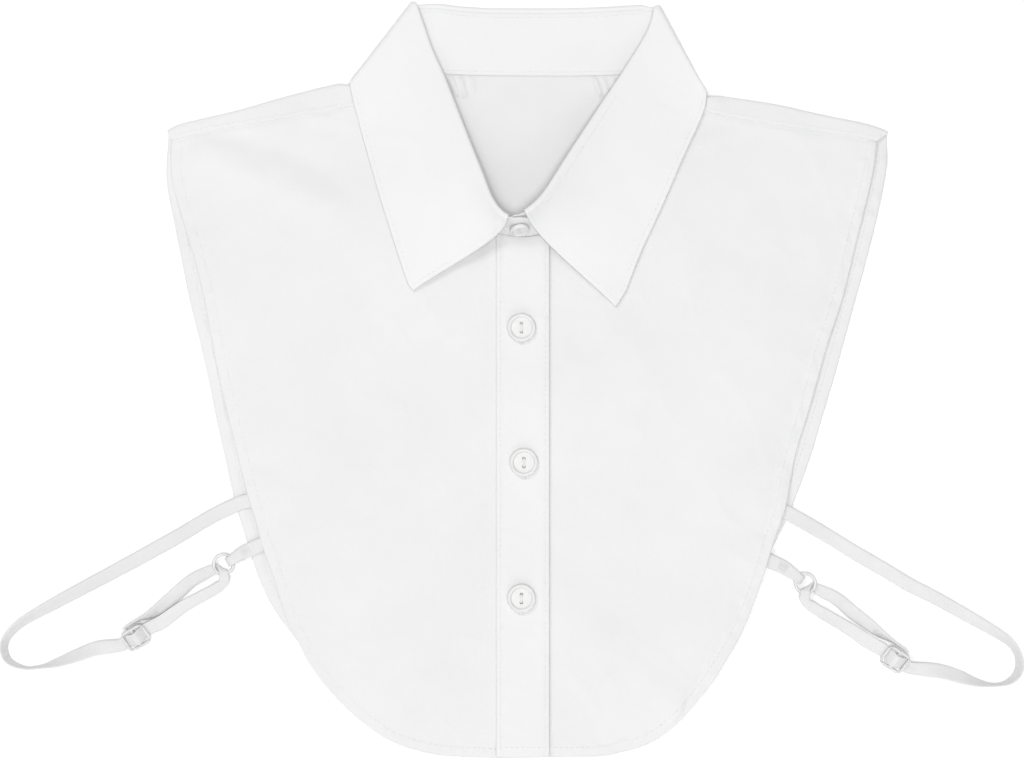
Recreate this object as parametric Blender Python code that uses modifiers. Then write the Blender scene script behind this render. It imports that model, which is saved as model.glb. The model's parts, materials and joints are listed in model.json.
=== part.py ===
import math

import bmesh
import bpy
import numpy as np
from mathutils import Matrix, Vector

# Frame: X to the viewer's right, Y towards the collar, Z up off the surface it lies on.
# The origin is on the centre front line, on the surface. Sizes and tables are in millimetres.
MM = 0.001
OBJECT_NAME = "dickey"

# Walls and gaps
CLOTH = 1.0
TAPE = 1.0
SEAM_GAP = 0.3
HALF_SEAM = 0.15
NECK_GAP = 0.4
LAYER_STEP = 1.3

# Heights of the middle of each layer
BACK_Z = 0.5
BACK_RISE = 2.0
BACK_TO_FRONT = 2.0
FOLD_RADIUS = 1.0
FOLD_STEPS = 6
FLAP_ROWS = 3
# Share of the shoulder's length at each column, closer together by the neck
SHOULDER_SHARES = (0.0, 0.15, 0.3, 0.45, 0.58, 0.68, 0.76, 0.81, 0.86, 0.91, 0.955, 1.0)

# Collar
CREASE_Z = 3.5
STAND_RADIUS = 1.0
STAND_BACK_Z = 2.5
LEAF_BACK_Z = 0.5
CREASE_TO_TOP = 2.7
CREASE_TO_NECK = 32.1
ROLL_START = 0.3
ROLL_LIFT = 1.2
ROLL_STEPS = 4
LEAF_ON_PANEL = 1.5
OVERLAP_OFFSET = 0.75
OVER_END = 9.75
UNDER_END = 8.3
LEFT_SEAM_PLACE = 2.3
RIGHT_SEAM_PLACE = 15.65
LEFT_LEAF_END = 8.45
RIGHT_LEAF_END = 9.55
# Rounded ends of the stand: share of its height at the end and at the bend before it
STAND_END = 0.72
STAND_BEND = 0.95
STAND_BEND_PLACE = 9.0
# Places along the front of the collar at which its pieces have a line of points
LEFT_STAND_PLACES = (OVER_END, 9.5, 9.25, 9.0, 8.5, 8.0, 7.5, 7.0, 6.5, 6.0, 5.0, 4.0, 3.0, 2.0, 1.0, 0.5)
RIGHT_STAND_PLACES = (17.5, 17.0, 16.0, 15.0, 14.0, 13.0, 12.0, 11.5, 11.0, 10.5, 10.0, 9.5, 9.0, 8.6,
                      UNDER_END)
LEFT_LEAF_PLACES = (LEFT_LEAF_END, 8.2, 7.8, 7.2, 6.6, 6.0, 5.4, 4.8, 4.0, 3.2, 2.4, 1.6, 1.0, 0.5)
RIGHT_LEAF_PLACES = (17.5, 17.0, 16.4, 15.6, 14.8, 14.0, 13.2, 12.6, 12.0, 11.4, 10.8, 10.2, 9.8,
                     RIGHT_LEAF_END)
# Fall of the leaf: pull of its curve, softness where it meets the fronts, and its points
FALL_PULL = 0.3
FALL_SOFTNESS = 0.4
FALL_SHARES = (0.07, 0.18, 0.3, 0.43, 0.57, 0.71, 0.85, 1.0)

# Front opening
OVER_EDGE_X = 13.6
UNDER_EDGE_X = -13.0
OVER_BLEND_X = -22.0
OVER_BLEND = 8.0
PLACKET_LEFT_X = -12.2
PLACKET_RIGHT_X = 13.9
PLACKET_BELOW_NECK = 1.8
PLACKET_ABOVE_HEM = 0.5

# Buttons: centre x y
BUTTONS = ((0.2, 26.0), (1.4, -41.0), (0.2, -108.5))
BUTTON_RADIUS = 7.2
NECK_BUTTON_RADIUS = 5.0
BUTTON_HEIGHT = 2.4
BUTTON_HOLE = 0.9
NECK_BUTTON_HOLE = 0.7
BUTTON_HOLE_TURN = 0.21
BUTTON_HOLE_APART = 4.0
BUTTON_STEPS = 24
# Share of the radius and of the height along the turned button's profile
BUTTON_PROFILE = (
    (0.0, 0.0),
    (0.82, 0.0),
    (0.96, 0.2),
    (1.0, 0.5),
    (0.96, 0.84),
    (0.87, 1.0),
    (0.76, 0.95),
    (0.69, 0.72),
    (0.64, 0.62),
    (0.0, 0.58),
)

# Strap hardware
RING_RADIUS = 4.9
RING_WIRE = 0.85
RING_Z = 2.3
RING_STEPS = 24
SLIDER_LENGTH = 13.0
SLIDER_WIDTH = 12.0
SLIDER_BAR = 1.5
SLIDER_THICK = 1.3
SLIDER_Z = 3.65
SLIDER_TILT = 25.0
SLIDER_CORNER = 3.0
STRAP_WIDTH = 6.8

# Left shoulder fold from the tip to the neck: x y
LEFT_SHOULDER = (
    (-176.7, 124.8),
    (-170.2, 127.8),
    (-160.2, 130.3),
    (-140.3, 135.0),
    (-120.3, 140.8),
    (-100.3, 146.0),
    (-91.4, 147.6),
    (-85.4, 147.2),
    (-81.2, 149.2),
    (-78.9, 154.2),
    (-75.7, 158.7),
    (-72.5, 162.7),
)
# Right shoulder fold from the tip to the neck: x y
RIGHT_SHOULDER = (
    (183.2, 124.3),
    (176.7, 126.8),
    (169.2, 128.8),
    (149.2, 132.8),
    (129.3, 137.3),
    (109.3, 140.5),
    (99.3, 141.8),
    (93.6, 141.6),
    (89.4, 143.4),
    (87.0, 147.8),
    (84.9, 153.5),
    (82.6, 158.1),
)
# Left side of the back from the shoulder tip down: x y
LEFT_BACK_SIDE = (
    (-177.4, 123.4),
    (-176.9, 100.0),
    (-173.4, 80.0),
    (-169.4, 60.0),
    (-165.4, 40.0),
    (-160.4, 20.0),
    (-155.9, 0.0),
    (-151.9, -20.0),
    (-147.4, -40.0),
    (-142.9, -60.0),
    (-136.9, -80.0),
    (-130.4, -100.0),
    (-124.0, -113.0),
    (-115.0, -125.9),
    (-102.5, -140.9),
    (-87.5, -153.9),
)
# Right side of the back from the shoulder tip down: x y
RIGHT_BACK_SIDE = (
    (183.9, 122.9),
    (182.4, 105.0),
    (177.4, 80.0),
    (172.4, 60.0),
    (166.9, 40.0),
    (161.4, 20.0),
    (155.9, 0.0),
    (149.9, -20.0),
    (143.9, -40.0),
    (136.4, -60.0),
    (132.4, -70.0),
    (127.9, -79.0),
    (122.4, -90.0),
    (115.5, -105.0),
    (104.5, -125.9),
    (91.0, -145.9),
)
# Hem of the back from left to right: x y
BACK_HEM = (
    (-87.5, -153.9),
    (-70.5, -164.9),
    (-50.5, -172.9),
    (-25.5, -177.4),
    (4.5, -178.9),
    (34.5, -177.4),
    (57.0, -171.9),
    (75.5, -161.4),
    (91.0, -145.9),
)
# Forward shoulder seams from the tip to the neck: x y
LEFT_SEAM = (
    (-174.6, 119.7),
    (-160.1, 123.2),
    (-135.2, 127.7),
    (-109.2, 132.2),
    (-85.3, 136.2),
    (-67.1, 139.2),
)
RIGHT_SEAM = (
    (177.5, 119.2),
    (164.1, 121.7),
    (139.1, 125.4),
    (109.2, 130.2),
    (91.8, 133.7),
    (76.5, 136.7),
)
# Left side of the front from the shoulder seam down: x y
LEFT_FRONT_SIDE = (
    (-174.3, 119.2),
    (-174.1, 100.7),
    (-169.1, 80.8),
    (-163.1, 61.3),
    (-158.6, 42.9),
    (-155.1, 24.4),
    (-151.1, 4.0),
    (-144.7, -23.9),
    (-137.7, -51.9),
    (-133.2, -67.3),
    (-129.2, -81.3),
    (-125.2, -93.3),
    (-120.7, -107.2),
    (-116.7, -120.2),
    (-111.7, -129.7),
    (-106.2, -140.2),
    (-99.3, -150.1),
    (-91.3, -159.6),
)
# Right side of the front from the shoulder seam down: x y
RIGHT_FRONT_SIDE = (
    (177.3, 118.7),
    (175.1, 101.2),
    (167.6, 70.3),
    (160.1, 39.9),
    (152.6, 17.0),
    (144.1, -13.5),
    (137.1, -36.4),
    (132.2, -61.3),
    (128.2, -74.3),
    (124.9, -83.8),
    (120.7, -97.8),
    (116.7, -109.7),
    (112.7, -119.7),
    (108.2, -129.7),
    (102.2, -139.7),
    (95.8, -150.1),
    (88.3, -159.6),
)
# Hem of each front from its side to its centre edge: x y
LEFT_FRONT_HEM = (
    (-91.3, -159.6),
    (-80.4, -169.7),
    (-65.9, -179.7),
    (-52.4, -184.7),
    (-40.4, -187.2),
    (-20.5, -188.4),
    (0.0, -188.3),
    (13.6, -188.0),
)
RIGHT_FRONT_HEM = (
    (88.3, -159.6),
    (79.4, -169.7),
    (69.4, -178.2),
    (59.4, -183.2),
    (49.4, -185.9),
    (39.4, -187.7),
    (19.5, -188.2),
    (0.0, -188.2),
    (-13.0, -188.4),
)
# Front of the collar, left crease to right crease: neck x y, top of stand x y z, roll radius
COLLAR_FRONT = (
    (-71.24, 161.85, -53.28, 185.12, 4.5, 1.0),
    (-70.3, 153.4, -50.2, 175.5, 4.6, 1.0),
    (-68.3, 143.5, -46.3, 164.0, 5.0, 1.0),
    (-64.8, 131.5, -40.3, 150.5, 6.2, 1.1),
    (-59.8, 118.1, -34.2, 134.8, 8.4, 1.2),
    (-53.3, 105.6, -27.7, 118.2, 11.5, 1.2),
    (-44.4, 93.6, -21.2, 102.4, 16.0, 1.2),
    (-31.4, 82.7, -15.3, 88.8, 20.5, 1.2),
    (-16.5, 75.2, -8.9, 82.2, 23.5, 1.15),
    (0.0, 71.7, -2.1, 80.1, 24.5, 1.15),
    (15.9, 74.7, 5.8, 84.3, 23.5, 1.15),
    (31.4, 81.7, 13.2, 92.5, 20.5, 1.2),
    (45.3, 91.2, 22.1, 105.9, 16.2, 1.2),
    (57.3, 103.1, 32.1, 121.1, 12.0, 1.2),
    (66.7, 116.6, 42.1, 136.3, 8.6, 1.2),
    (73.7, 129.5, 51.1, 149.9, 6.4, 1.1),
    (78.2, 141.0, 59.1, 162.5, 5.1, 1.0),
    (80.2, 148.4, 65.1, 173.5, 4.6, 1.0),
    (81.2, 157.5, 67.46, 183.5, 4.5, 1.0),
)
# Outer edge of each side of the leaf from its crease to its point: x y
LEFT_LEAF_EDGE = (
    (-82.0, 147.6),
    (-83.4, 140.4),
    (-81.2, 131.0),
    (-78.2, 119.5),
    (-74.2, 105.6),
    (-69.7, 90.1),
    (-64.7, 74.2),
    (-59.8, 58.8),
    (-56.0, 47.8),
)
LEFT_POINT = (-53.8, 44.8)
RIGHT_LEAF_EDGE = (
    (88.4, 143.3),
    (91.6, 138.9),
    (90.6, 133.4),
    (86.6, 124.0),
    (80.6, 111.0),
    (74.2, 96.1),
    (66.7, 79.2),
    (58.7, 61.7),
    (52.3, 44.8),
)
RIGHT_POINT = (47.2, 36.8)
# Back of the collar, left to right: neck x y, top of stand x y, outer edge of leaf x y
COLLAR_BACK = (
    (-63.4, 157.7, -48.4, 185.4, -73.0, 143.5),
    (-52.9, 154.7, -41.4, 185.4, -60.5, 141.0),
    (-37.9, 153.0, -32.0, 184.2, -40.5, 139.5),
    (-18.0, 152.2, -17.0, 183.2, -18.0, 139.0),
    (4.5, 152.0, 4.5, 183.0, 4.5, 139.0),
    (26.9, 152.0, 24.5, 183.1, 27.0, 139.0),
    (46.9, 152.5, 40.9, 183.7, 47.0, 139.5),
    (61.9, 153.5, 52.4, 184.4, 64.5, 140.5),
    (73.4, 155.2, 60.9, 184.9, 79.5, 142.0),
)
# Side creases: axis start x y, direction x y, side out of the neck x y, leaf length along it
LEFT_CREASE = (-51.63, 187.26, -0.611, -0.7915, -0.7915, 0.611, 49.0)
RIGHT_CREASE = (66.2, 185.87, 0.467, -0.884, 0.884, 0.467, 46.4)

# Where the panels lie over the back of the leaf
LEAF_BED_Y = 126.0
LEAF_BED_SLOPE = 13.0
LEAF_BED_LEFT = -97.0
LEAF_BED_RIGHT = 104.0
LEAF_BED_SIDE = 10.0
# Oval round the neck that lifts the fronts: centre x y, half sizes, and where the lift ends
NECK_OVAL = (5.0, 150.0, 72.0, 80.0)
NECK_OVAL_END = 1.45
# Straight guides along the sides of the fronts
SIDE_TOP_Y = 120.0
SIDE_LEFT_X = -172.0
SIDE_LEFT_SLOPE = 0.209
SIDE_RIGHT_X = 180.0
SIDE_RIGHT_SLOPE = 0.27
# Swell of the fronts off the back, and the waves in it
SWELL = 1.2
SWELL_WAVE = 0.45
SWELL_CROSS = 0.3
SWELL_FROM_SIDE = 40.0
SWELL_LOW_Y = -183.0
SWELL_FROM_HEM = 34.0
SWELL_HIGH_Y = 128.0
SWELL_FROM_SEAM = 36.0
FOLD_FROM_SIDE = 12.0
HEM_DROP = 0.7
HEM_DROP_WIDTH = 6.0

# Soft folds pressed up out of the front: x y to x y, height, width
SOFT_FOLDS = (
    (-157.0, 117.0, -94.5, 91.0, 1.1, 8.0),
    (139.5, 125.0, 104.0, 131.0, 0.7, 6.0),
    (-110.5, 133.0, -86.0, 127.0, 0.6, 4.5),
    (112.0, 125.0, 92.0, 118.0, 0.6, 4.5),
    (39.5, -130.0, 76.0, -160.0, 1.0, 9.0),
    (-44.0, -120.0, -70.0, -152.0, 0.8, 9.0),
    (-30.0, 55.0, -58.0, 8.0, 0.7, 10.0),
    (34.0, 48.0, 62.0, 0.0, 0.7, 10.0),
)
# Places where a tape passes between the back and the front: x y
TAPE_PASSES = (
    (-128.0, -58.0),
    (-124.0, -80.0),
    (127.0, -63.5),
    (118.5, -88.0),
)
TAPE_PASS_LIFT = 1.4
TAPE_PASS_REACH = 12.0

# Straps: x y z, lift of the width from level in degrees, width
LEFT_RUN = (
    (-121.3, -55.9, 1.9, 0.0, 6.8),
    (-135.3, -60.1, 1.9, 0.0, 6.8),
    (-141.3, -61.9, 1.8, 0.0, 6.8),
    (-153.8, -67.8, 0.7, 0.0, 6.8),
    (-172.8, -79.0, 0.6, -4.0, 6.8),
    (-192.3, -89.9, 1.2, -18.0, 6.8),
    (-211.7, -100.4, 1.8, -28.0, 6.8),
    (-230.9, -110.7, 2.4, -38.0, 6.8),
    (-247.2, -119.9, 3.1, -56.0, 6.8),
    (-255.3, -126.9, 3.4, -64.0, 6.8),
    (-258.0, -133.6, 3.45, -68.0, 6.8),
    (-255.2, -140.2, 3.5, -74.0, 6.8),
    (-247.3, -143.5, 3.5, -86.0, 6.8),
    (-240.3, -143.1, 3.5, -84.0, 6.8),
    (-231.1, -140.8, 3.0, -56.0, 6.8),
    (-221.9, -137.5, 2.0, -30.0, 6.8),
    (-212.3, -134.1, 1.4, -14.0, 6.8),
)
LEFT_LOWER = (
    (-179.0, -120.7, 1.4, 14.0, 6.8),
    (-168.8, -113.3, 1.9, 26.0, 6.4),
    (-159.0, -107.9, 2.2, 26.0, 5.8),
    (-152.5, -104.2, 3.2, 10.0, 5.0),
)
LEFT_UPPER = (
    (-164.5, -100.3, 1.4, 22.0, 6.4),
    (-172.9, -107.7, 1.6, 24.0, 6.8),
    (-180.2, -113.9, 2.4, 38.0, 6.8),
    (-185.9, -117.8, 3.1, 62.0, 6.8),
    (-190.0, -119.4, 3.5, 80.0, 6.8),
    (-194.0, -121.5, 3.5, 86.0, 6.8),
    (-198.0, -124.0, 3.5, 88.0, 6.8),
)
LEFT_TAB = (
    (-120.3, -77.9, 1.9, 0.0, 6.8),
    (-129.3, -82.0, 1.9, 0.0, 6.8),
    (-135.5, -84.7, 2.2, 0.0, 6.6),
    (-139.9, -86.8, 3.2, 0.0, 5.8),
)
RIGHT_RUN = (
    (117.3, -59.9, 1.9, 0.0, 6.8),
    (131.6, -65.7, 1.9, 0.0, 6.8),
    (138.5, -69.3, 1.7, 0.0, 6.8),
    (151.5, -76.8, 0.7, 0.0, 6.8),
    (165.7, -85.6, 0.6, 4.0, 6.8),
    (179.9, -93.9, 1.0, 14.0, 6.8),
    (193.9, -102.3, 1.4, 20.0, 6.8),
    (208.4, -109.8, 2.0, 30.0, 6.8),
    (222.6, -117.8, 2.4, 36.0, 6.8),
    (236.5, -125.9, 3.0, 50.0, 6.8),
    (244.4, -131.6, 3.4, 62.0, 6.8),
    (248.2, -138.1, 3.5, 70.0, 6.8),
    (248.2, -144.8, 3.5, 68.0, 6.8),
    (244.0, -150.0, 3.5, 76.0, 6.8),
    (236.8, -152.0, 3.5, 86.0, 6.8),
    (227.5, -150.8, 3.2, 62.0, 6.8),
    (218.2, -147.8, 2.0, 28.0, 6.8),
    (209.0, -145.3, 1.5, 16.0, 6.8),
)
RIGHT_LOWER = (
    (173.2, -130.6, 1.4, -14.0, 6.8),
    (166.2, -125.8, 1.9, -24.0, 6.6),
    (156.5, -119.9, 2.2, -26.0, 6.2),
    (146.9, -114.2, 3.2, -10.0, 5.2),
)
RIGHT_UPPER = (
    (157.4, -109.2, 1.4, -22.0, 6.4),
    (166.1, -116.6, 1.6, -24.0, 6.8),
    (174.3, -122.8, 2.4, -38.0, 6.8),
    (180.4, -127.4, 3.1, -62.0, 6.8),
    (185.0, -130.2, 3.5, -80.0, 6.8),
    (188.8, -132.7, 3.5, -86.0, 6.8),
    (192.8, -135.2, 3.5, -88.0, 6.8),
)
RIGHT_TAB = (
    (114.3, -85.9, 1.9, 0.0, 6.8),
    (123.3, -90.0, 1.9, 0.0, 6.8),
    (129.1, -92.5, 2.2, 0.0, 6.6),
    (132.9, -94.6, 3.2, 0.0, 6.0),
)
# Ring centre x y, directions out of it to the lower strand, the upper strand and the tab
LEFT_RING = (-148.5, -92.0, 0.05, -1.0, -0.9, -0.44, 0.883, 0.47)
RIGHT_RING = (142.0, -101.5, -0.05, -1.0, 0.9, -0.44, -0.79, 0.61)
# Slider centre x y, direction of the strap through it, side that is tilted up
LEFT_SLIDER = (-192.0, -128.5, 0.86, 0.51, 1.0)
RIGHT_SLIDER = (186.5, -139.5, -0.84, 0.54, -1.0)
# Way of the strap through the slider: distance along it, height off its middle plane
SLIDER_WEAVE = (
    (-8.8, -1.6),
    (-5.9, -1.7),
    (-4.9, -1.55),
    (-2.9, 0.0),
    (-0.95, 1.5),
    (0.0, 1.75),
    (0.95, 1.5),
    (2.9, 0.0),
    (4.9, -1.55),
    (5.9, -1.7),
    (8.8, -1.6),
)
# Way of a tape round the ring: distance from its centre, height, width
RING_OVER = ((8.3, 3.9, 5.0), (4.9, 4.0, 4.4), (3.5, 3.75, 4.3))
RING_HOLE = (2.2, 2.3, 4.2)
RING_UNDER = ((3.5, 0.85, 4.3), (4.9, 0.6, 4.4), (8.6, 0.6, 5.4))
TAB_END = 10.5

# Colours: base colour, roughness
COTTON = ((0.90, 0.90, 0.89), 0.85)
ELASTIC = ((0.88, 0.88, 0.87), 0.75)
CLEAR = ((0.80, 0.81, 0.82), 0.25)
PEARL = ((0.91, 0.91, 0.88), 0.25)


def smooth(value):
    """Ease from 0 to 1 while the value goes from 0 to 1."""
    held = np.clip(value, 0.0, 1.0)
    return held * held * (3.0 - 2.0 * held)


def unit(vector):
    """The vector at length one."""
    vector = np.asarray(vector, float)
    return vector / np.linalg.norm(vector)


def at(rows, place):
    """Row of a table at a place between its rows, on a smooth curve through them."""
    rows = np.asarray(rows, float)
    last = len(rows) - 1
    place = min(max(place, 0.0), float(last))
    low = min(int(place), last - 1)
    t = place - low
    p1, p2 = rows[low], rows[low + 1]
    p0 = rows[low - 1] if low > 0 else 2.0 * p1 - p2
    p3 = rows[low + 2] if low + 2 <= last else 2.0 * p2 - p1
    return 0.5 * (2.0 * p1 + (p2 - p0) * t + (2.0 * p0 - 5.0 * p1 + 4.0 * p2 - p3) * t * t
                  + (3.0 * p1 - p0 - 3.0 * p2 + p3) * t ** 3)


def dense(rows, steps=8):
    """Smooth curve through the rows of a table, with every row kept."""
    count = (len(rows) - 1) * steps
    return np.array([at(rows, i / steps) for i in range(count + 1)])


def spaced(line, count, shares=None):
    """Points at even distances along a line, or at shares of its length."""
    line = np.asarray(line, float)
    along = np.concatenate([[0.0], np.cumsum(np.linalg.norm(np.diff(line[:, :2], axis=0), axis=1))])
    wanted = np.linspace(0.0, along[-1], count + 1)
    if shares is not None:
        wanted = along[-1] * np.array(shares)
    return np.stack([np.interp(wanted, along, line[:, k]) for k in range(line.shape[1])], axis=1)


def sideways(line, distance):
    """The line moved to its left by a distance."""
    line = np.asarray(line, float)
    step = np.gradient(line[:, :2], axis=0)
    step /= np.linalg.norm(step, axis=1)[:, None]
    moved = line.copy()
    moved[:, 0] -= step[:, 1] * distance
    moved[:, 1] += step[:, 0] * distance
    return moved


def distance_to(line, x, y):
    """Distance of points from a line of points."""
    points = np.stack([np.asarray(x, float), np.asarray(y, float)], axis=-1)
    best = np.full(points.shape[:-1], np.inf)
    for a, b in zip(line[:-1, :2], line[1:, :2]):
        edge = b - a
        t = np.clip(((points - a) @ edge) / max(edge @ edge, 1e-9), 0.0, 1.0)
        best = np.minimum(best, np.linalg.norm(points - a - t[..., None] * edge, axis=-1))
    return best


HEM_LINE = np.concatenate([dense(LEFT_FRONT_HEM)[:, :2], dense(RIGHT_FRONT_HEM)[::-1]])


def collar_rise(x, y):
    """1 where the panels lie on the back of the leaf, 0 away from it."""
    up = smooth((y - LEAF_BED_Y) / LEAF_BED_SLOPE)
    return up * smooth((x - LEAF_BED_LEFT) / LEAF_BED_SIDE) * smooth((LEAF_BED_RIGHT - x) / LEAF_BED_SIDE)


def back_height(x, y):
    """Height of the middle of the back panel."""
    return BACK_Z + BACK_RISE * collar_rise(x, y)


def front_height(x, y):
    """Height of the middle of the fronts, before the overlap at the centre."""
    x = np.asarray(x, float)
    y = np.asarray(y, float)
    centre_x, centre_y, half_x, half_y = NECK_OVAL
    ring = np.sqrt(((x - centre_x) / half_x) ** 2 + ((y - centre_y) / half_y) ** 2)
    near_neck = smooth((NECK_OVAL_END - ring) / (NECK_OVAL_END - 1.0))
    lifted = 1.0 - (1.0 - near_neck) * (1.0 - collar_rise(x, y))
    height = BACK_Z + BACK_TO_FRONT + BACK_RISE * lifted
    left = SIDE_LEFT_X + (SIDE_TOP_Y - y) * SIDE_LEFT_SLOPE
    right = SIDE_RIGHT_X - (SIDE_TOP_Y - y) * SIDE_RIGHT_SLOPE
    inside = smooth(np.minimum(x - left, right - x) / SWELL_FROM_SIDE)
    inside = inside * smooth((y - SWELL_LOW_Y) / SWELL_FROM_HEM) * smooth((SWELL_HIGH_Y - y) / SWELL_FROM_SEAM)
    waves = SWELL_WAVE * np.sin(x / 24.0 + 0.6) * np.cos(y / 37.0 + 0.4) + SWELL_CROSS * np.sin((x + y) / 31.0)
    height = height + inside * (SWELL + waves)
    edge = smooth(np.minimum(x - left, right - x) / FOLD_FROM_SIDE)
    for x0, y0, x1, y1, rise, width in SOFT_FOLDS:
        away = distance_to(np.array([(x0, y0), (x1, y1)]), x, y)
        height = height + edge * rise * np.exp(-((away / width) ** 2))
    for px, py in TAPE_PASSES:
        away = np.hypot(x - px, y - py) / TAPE_PASS_REACH
        height = height + TAPE_PASS_LIFT * np.exp(-(away ** 4))
    return height - HEM_DROP * (1.0 - smooth(distance_to(HEM_LINE, x, y) / HEM_DROP_WIDTH))


def over_height(x, y):
    """Height of the middle of the front that laps over."""
    return front_height(x, y) + LAYER_STEP * smooth((np.asarray(x) - OVER_BLEND_X) / OVER_BLEND)


def patch(top, bottom, left, right):
    """Points inside four joined edges, blended between them."""
    n, m = len(top) - 1, len(left) - 1
    grid = np.zeros((m + 1, n + 1, 2))
    for j in range(m + 1):
        v = j / m
        for i in range(n + 1):
            u = i / n
            across = (1 - v) * top[i, :2] + v * bottom[i, :2]
            down = (1 - u) * left[j, :2] + u * right[j, :2]
            corners = ((1 - u) * (1 - v) * top[0, :2] + u * (1 - v) * top[n, :2]
                       + (1 - u) * v * bottom[0, :2] + u * v * bottom[n, :2])
            grid[j, i] = across + down - corners
    return grid


def colour(obj, look):
    """Give an object its own material."""
    base, roughness = look
    material = bpy.data.materials.new(obj.name + "_look")
    material.use_nodes = True
    shader = material.node_tree.nodes["Principled BSDF"]
    shader.inputs["Base Color"].default_value = (*base, 1.0)
    shader.inputs["Roughness"].default_value = roughness
    shader.inputs["Metallic"].default_value = 0.0
    obj.data.materials.append(material)


def sheet(name, grids, wall, look, welded=False):
    """Shell of a wall's thickness about the middle surface given by grids of points."""
    mesh = bmesh.new()
    made = {}
    for grid in grids:
        grid = np.asarray(grid, float)
        rows, columns = grid.shape[:2]
        index = {}
        for j in range(rows):
            for i in range(columns):
                key = tuple(np.round(grid[j, i], 4))
                if key not in made or not welded:
                    made[key] = mesh.verts.new(Vector(grid[j, i]) * MM)
                index[j, i] = made[key]
        for j in range(rows - 1):
            for i in range(columns - 1):
                corners = [index[j, i], index[j, i + 1], index[j + 1, i + 1], index[j + 1, i]]
                mesh.faces.new(corners)
    bmesh.ops.recalc_face_normals(mesh, faces=mesh.faces)
    data = bpy.data.meshes.new(name)
    mesh.to_mesh(data)
    mesh.free()
    obj = bpy.data.objects.new(name, data)
    home.objects.link(obj)
    shell = obj.modifiers.new("wall", "SOLIDIFY")
    shell.thickness = wall * MM
    shell.offset = 0.0
    shell.use_even_offset = True
    shell.use_quality_normals = True
    colour(obj, look)
    return obj


def with_height(grid, height):
    """Grid of x y points given their heights."""
    z = height(grid[..., 0], grid[..., 1])
    return np.concatenate([grid, z[..., None]], axis=-1)


def neckline(start, end, count, out):
    """Points of the front neck seam between two places, moved out onto the panels."""
    line = np.array([at(COLLAR_FRONT, s)[:2] for s in np.linspace(start, end, 8 * count + 1)])
    return spaced(sideways(line, -out if end > start else out), count)


def neck_place(x, low, high):
    """Place along the front of the collar where the neck seam has an x."""
    for _ in range(30):
        middle = 0.5 * (low + high)
        if at(COLLAR_FRONT, middle)[0] < x:
            low = middle
        else:
            high = middle
    return low


def shoulder_fold(line, count, outward):
    """Rings round a shoulder fold and its flat line, from the lower layer to the upper."""
    points = spaced(dense(line), count, SHOULDER_SHARES)
    step = np.gradient(points, axis=0)
    step /= np.linalg.norm(step, axis=1)[:, None]
    normal = np.stack([-step[:, 1], step[:, 0]], axis=1) * outward
    axis = points - normal * (FOLD_RADIUS + CLOTH / 2)
    low = back_height(axis[:, 0], axis[:, 1])
    rings = []
    for k in range(FOLD_STEPS + 1):
        turn = math.pi * k / FOLD_STEPS
        flat = axis + normal * FOLD_RADIUS * math.sin(turn)
        z = low + FOLD_RADIUS * (1.0 - math.cos(turn))
        rings.append(np.concatenate([flat, z[:, None]], axis=1))
    return rings


def build_back():
    """Back panel, carried over each shoulder fold to the seam on the front."""
    side_columns, neck_columns, rows = len(SHOULDER_SHARES) - 1, 12, 16
    left = shoulder_fold(LEFT_SHOULDER, side_columns, 1.0)
    right = shoulder_fold(RIGHT_SHOULDER, side_columns, -1.0)
    neck_rows = np.array([row[:2] for row in COLLAR_BACK])
    neck_rows = np.concatenate([[left[0][-1, :2]], neck_rows, [right[0][-1, :2]]])
    neck = dense(neck_rows)
    neck[1:-1] = sideways(neck, -NECK_GAP)[1:-1]
    neck = spaced(neck, neck_columns)
    top = np.concatenate([left[0][:, :2], neck[1:-1], right[0][::-1, :2]])
    hem_count = len(top) - 1
    bottom = spaced(dense(BACK_HEM), hem_count)
    left_side = spaced(dense(((*left[0][0, :2],),) + LEFT_BACK_SIDE[1:]), rows)
    right_side = spaced(dense(((*right[0][0, :2],),) + RIGHT_BACK_SIDE[1:]), rows)
    low = with_height(patch(top, bottom, left_side, right_side), back_height)
    wings = []
    last = len(COLLAR_FRONT) - 1
    lean = (np.arange(side_columns + 1) / side_columns)[:, None] ** 2
    for rings, seam_rows, outer, start, end in (
        (left, LEFT_SEAM, 0, 0.0, LEFT_SEAM_PLACE),
        (right, RIGHT_SEAM, 1, float(last), RIGHT_SEAM_PLACE),
    ):
        seam = spaced(dense(seam_rows), side_columns, SHOULDER_SHARES)
        fold = rings[-1]
        flap = []
        neck_edge = neckline(start, end, FLAP_ROWS, NECK_GAP / 2)
        for row in range(1, FLAP_ROWS + 1):
            share = row / FLAP_ROWS
            flat = (1.0 - share) * fold[:, :2] + share * seam
            flat = flat + lean * (neck_edge[row] - flat[-1])
            z = front_height(flat[:, 0], flat[:, 1])
            flap.append(np.concatenate([flat, z[:, None]], axis=1))
        wing = np.array(rings + flap)
        first = low[0, :side_columns + 1] if outer == 0 else low[0, ::-1][:side_columns + 1]
        wing[0] = first
        wings.append(wing)
    return sheet("back_panel", [low] + wings, CLOTH, COTTON, welded=True)


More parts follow.
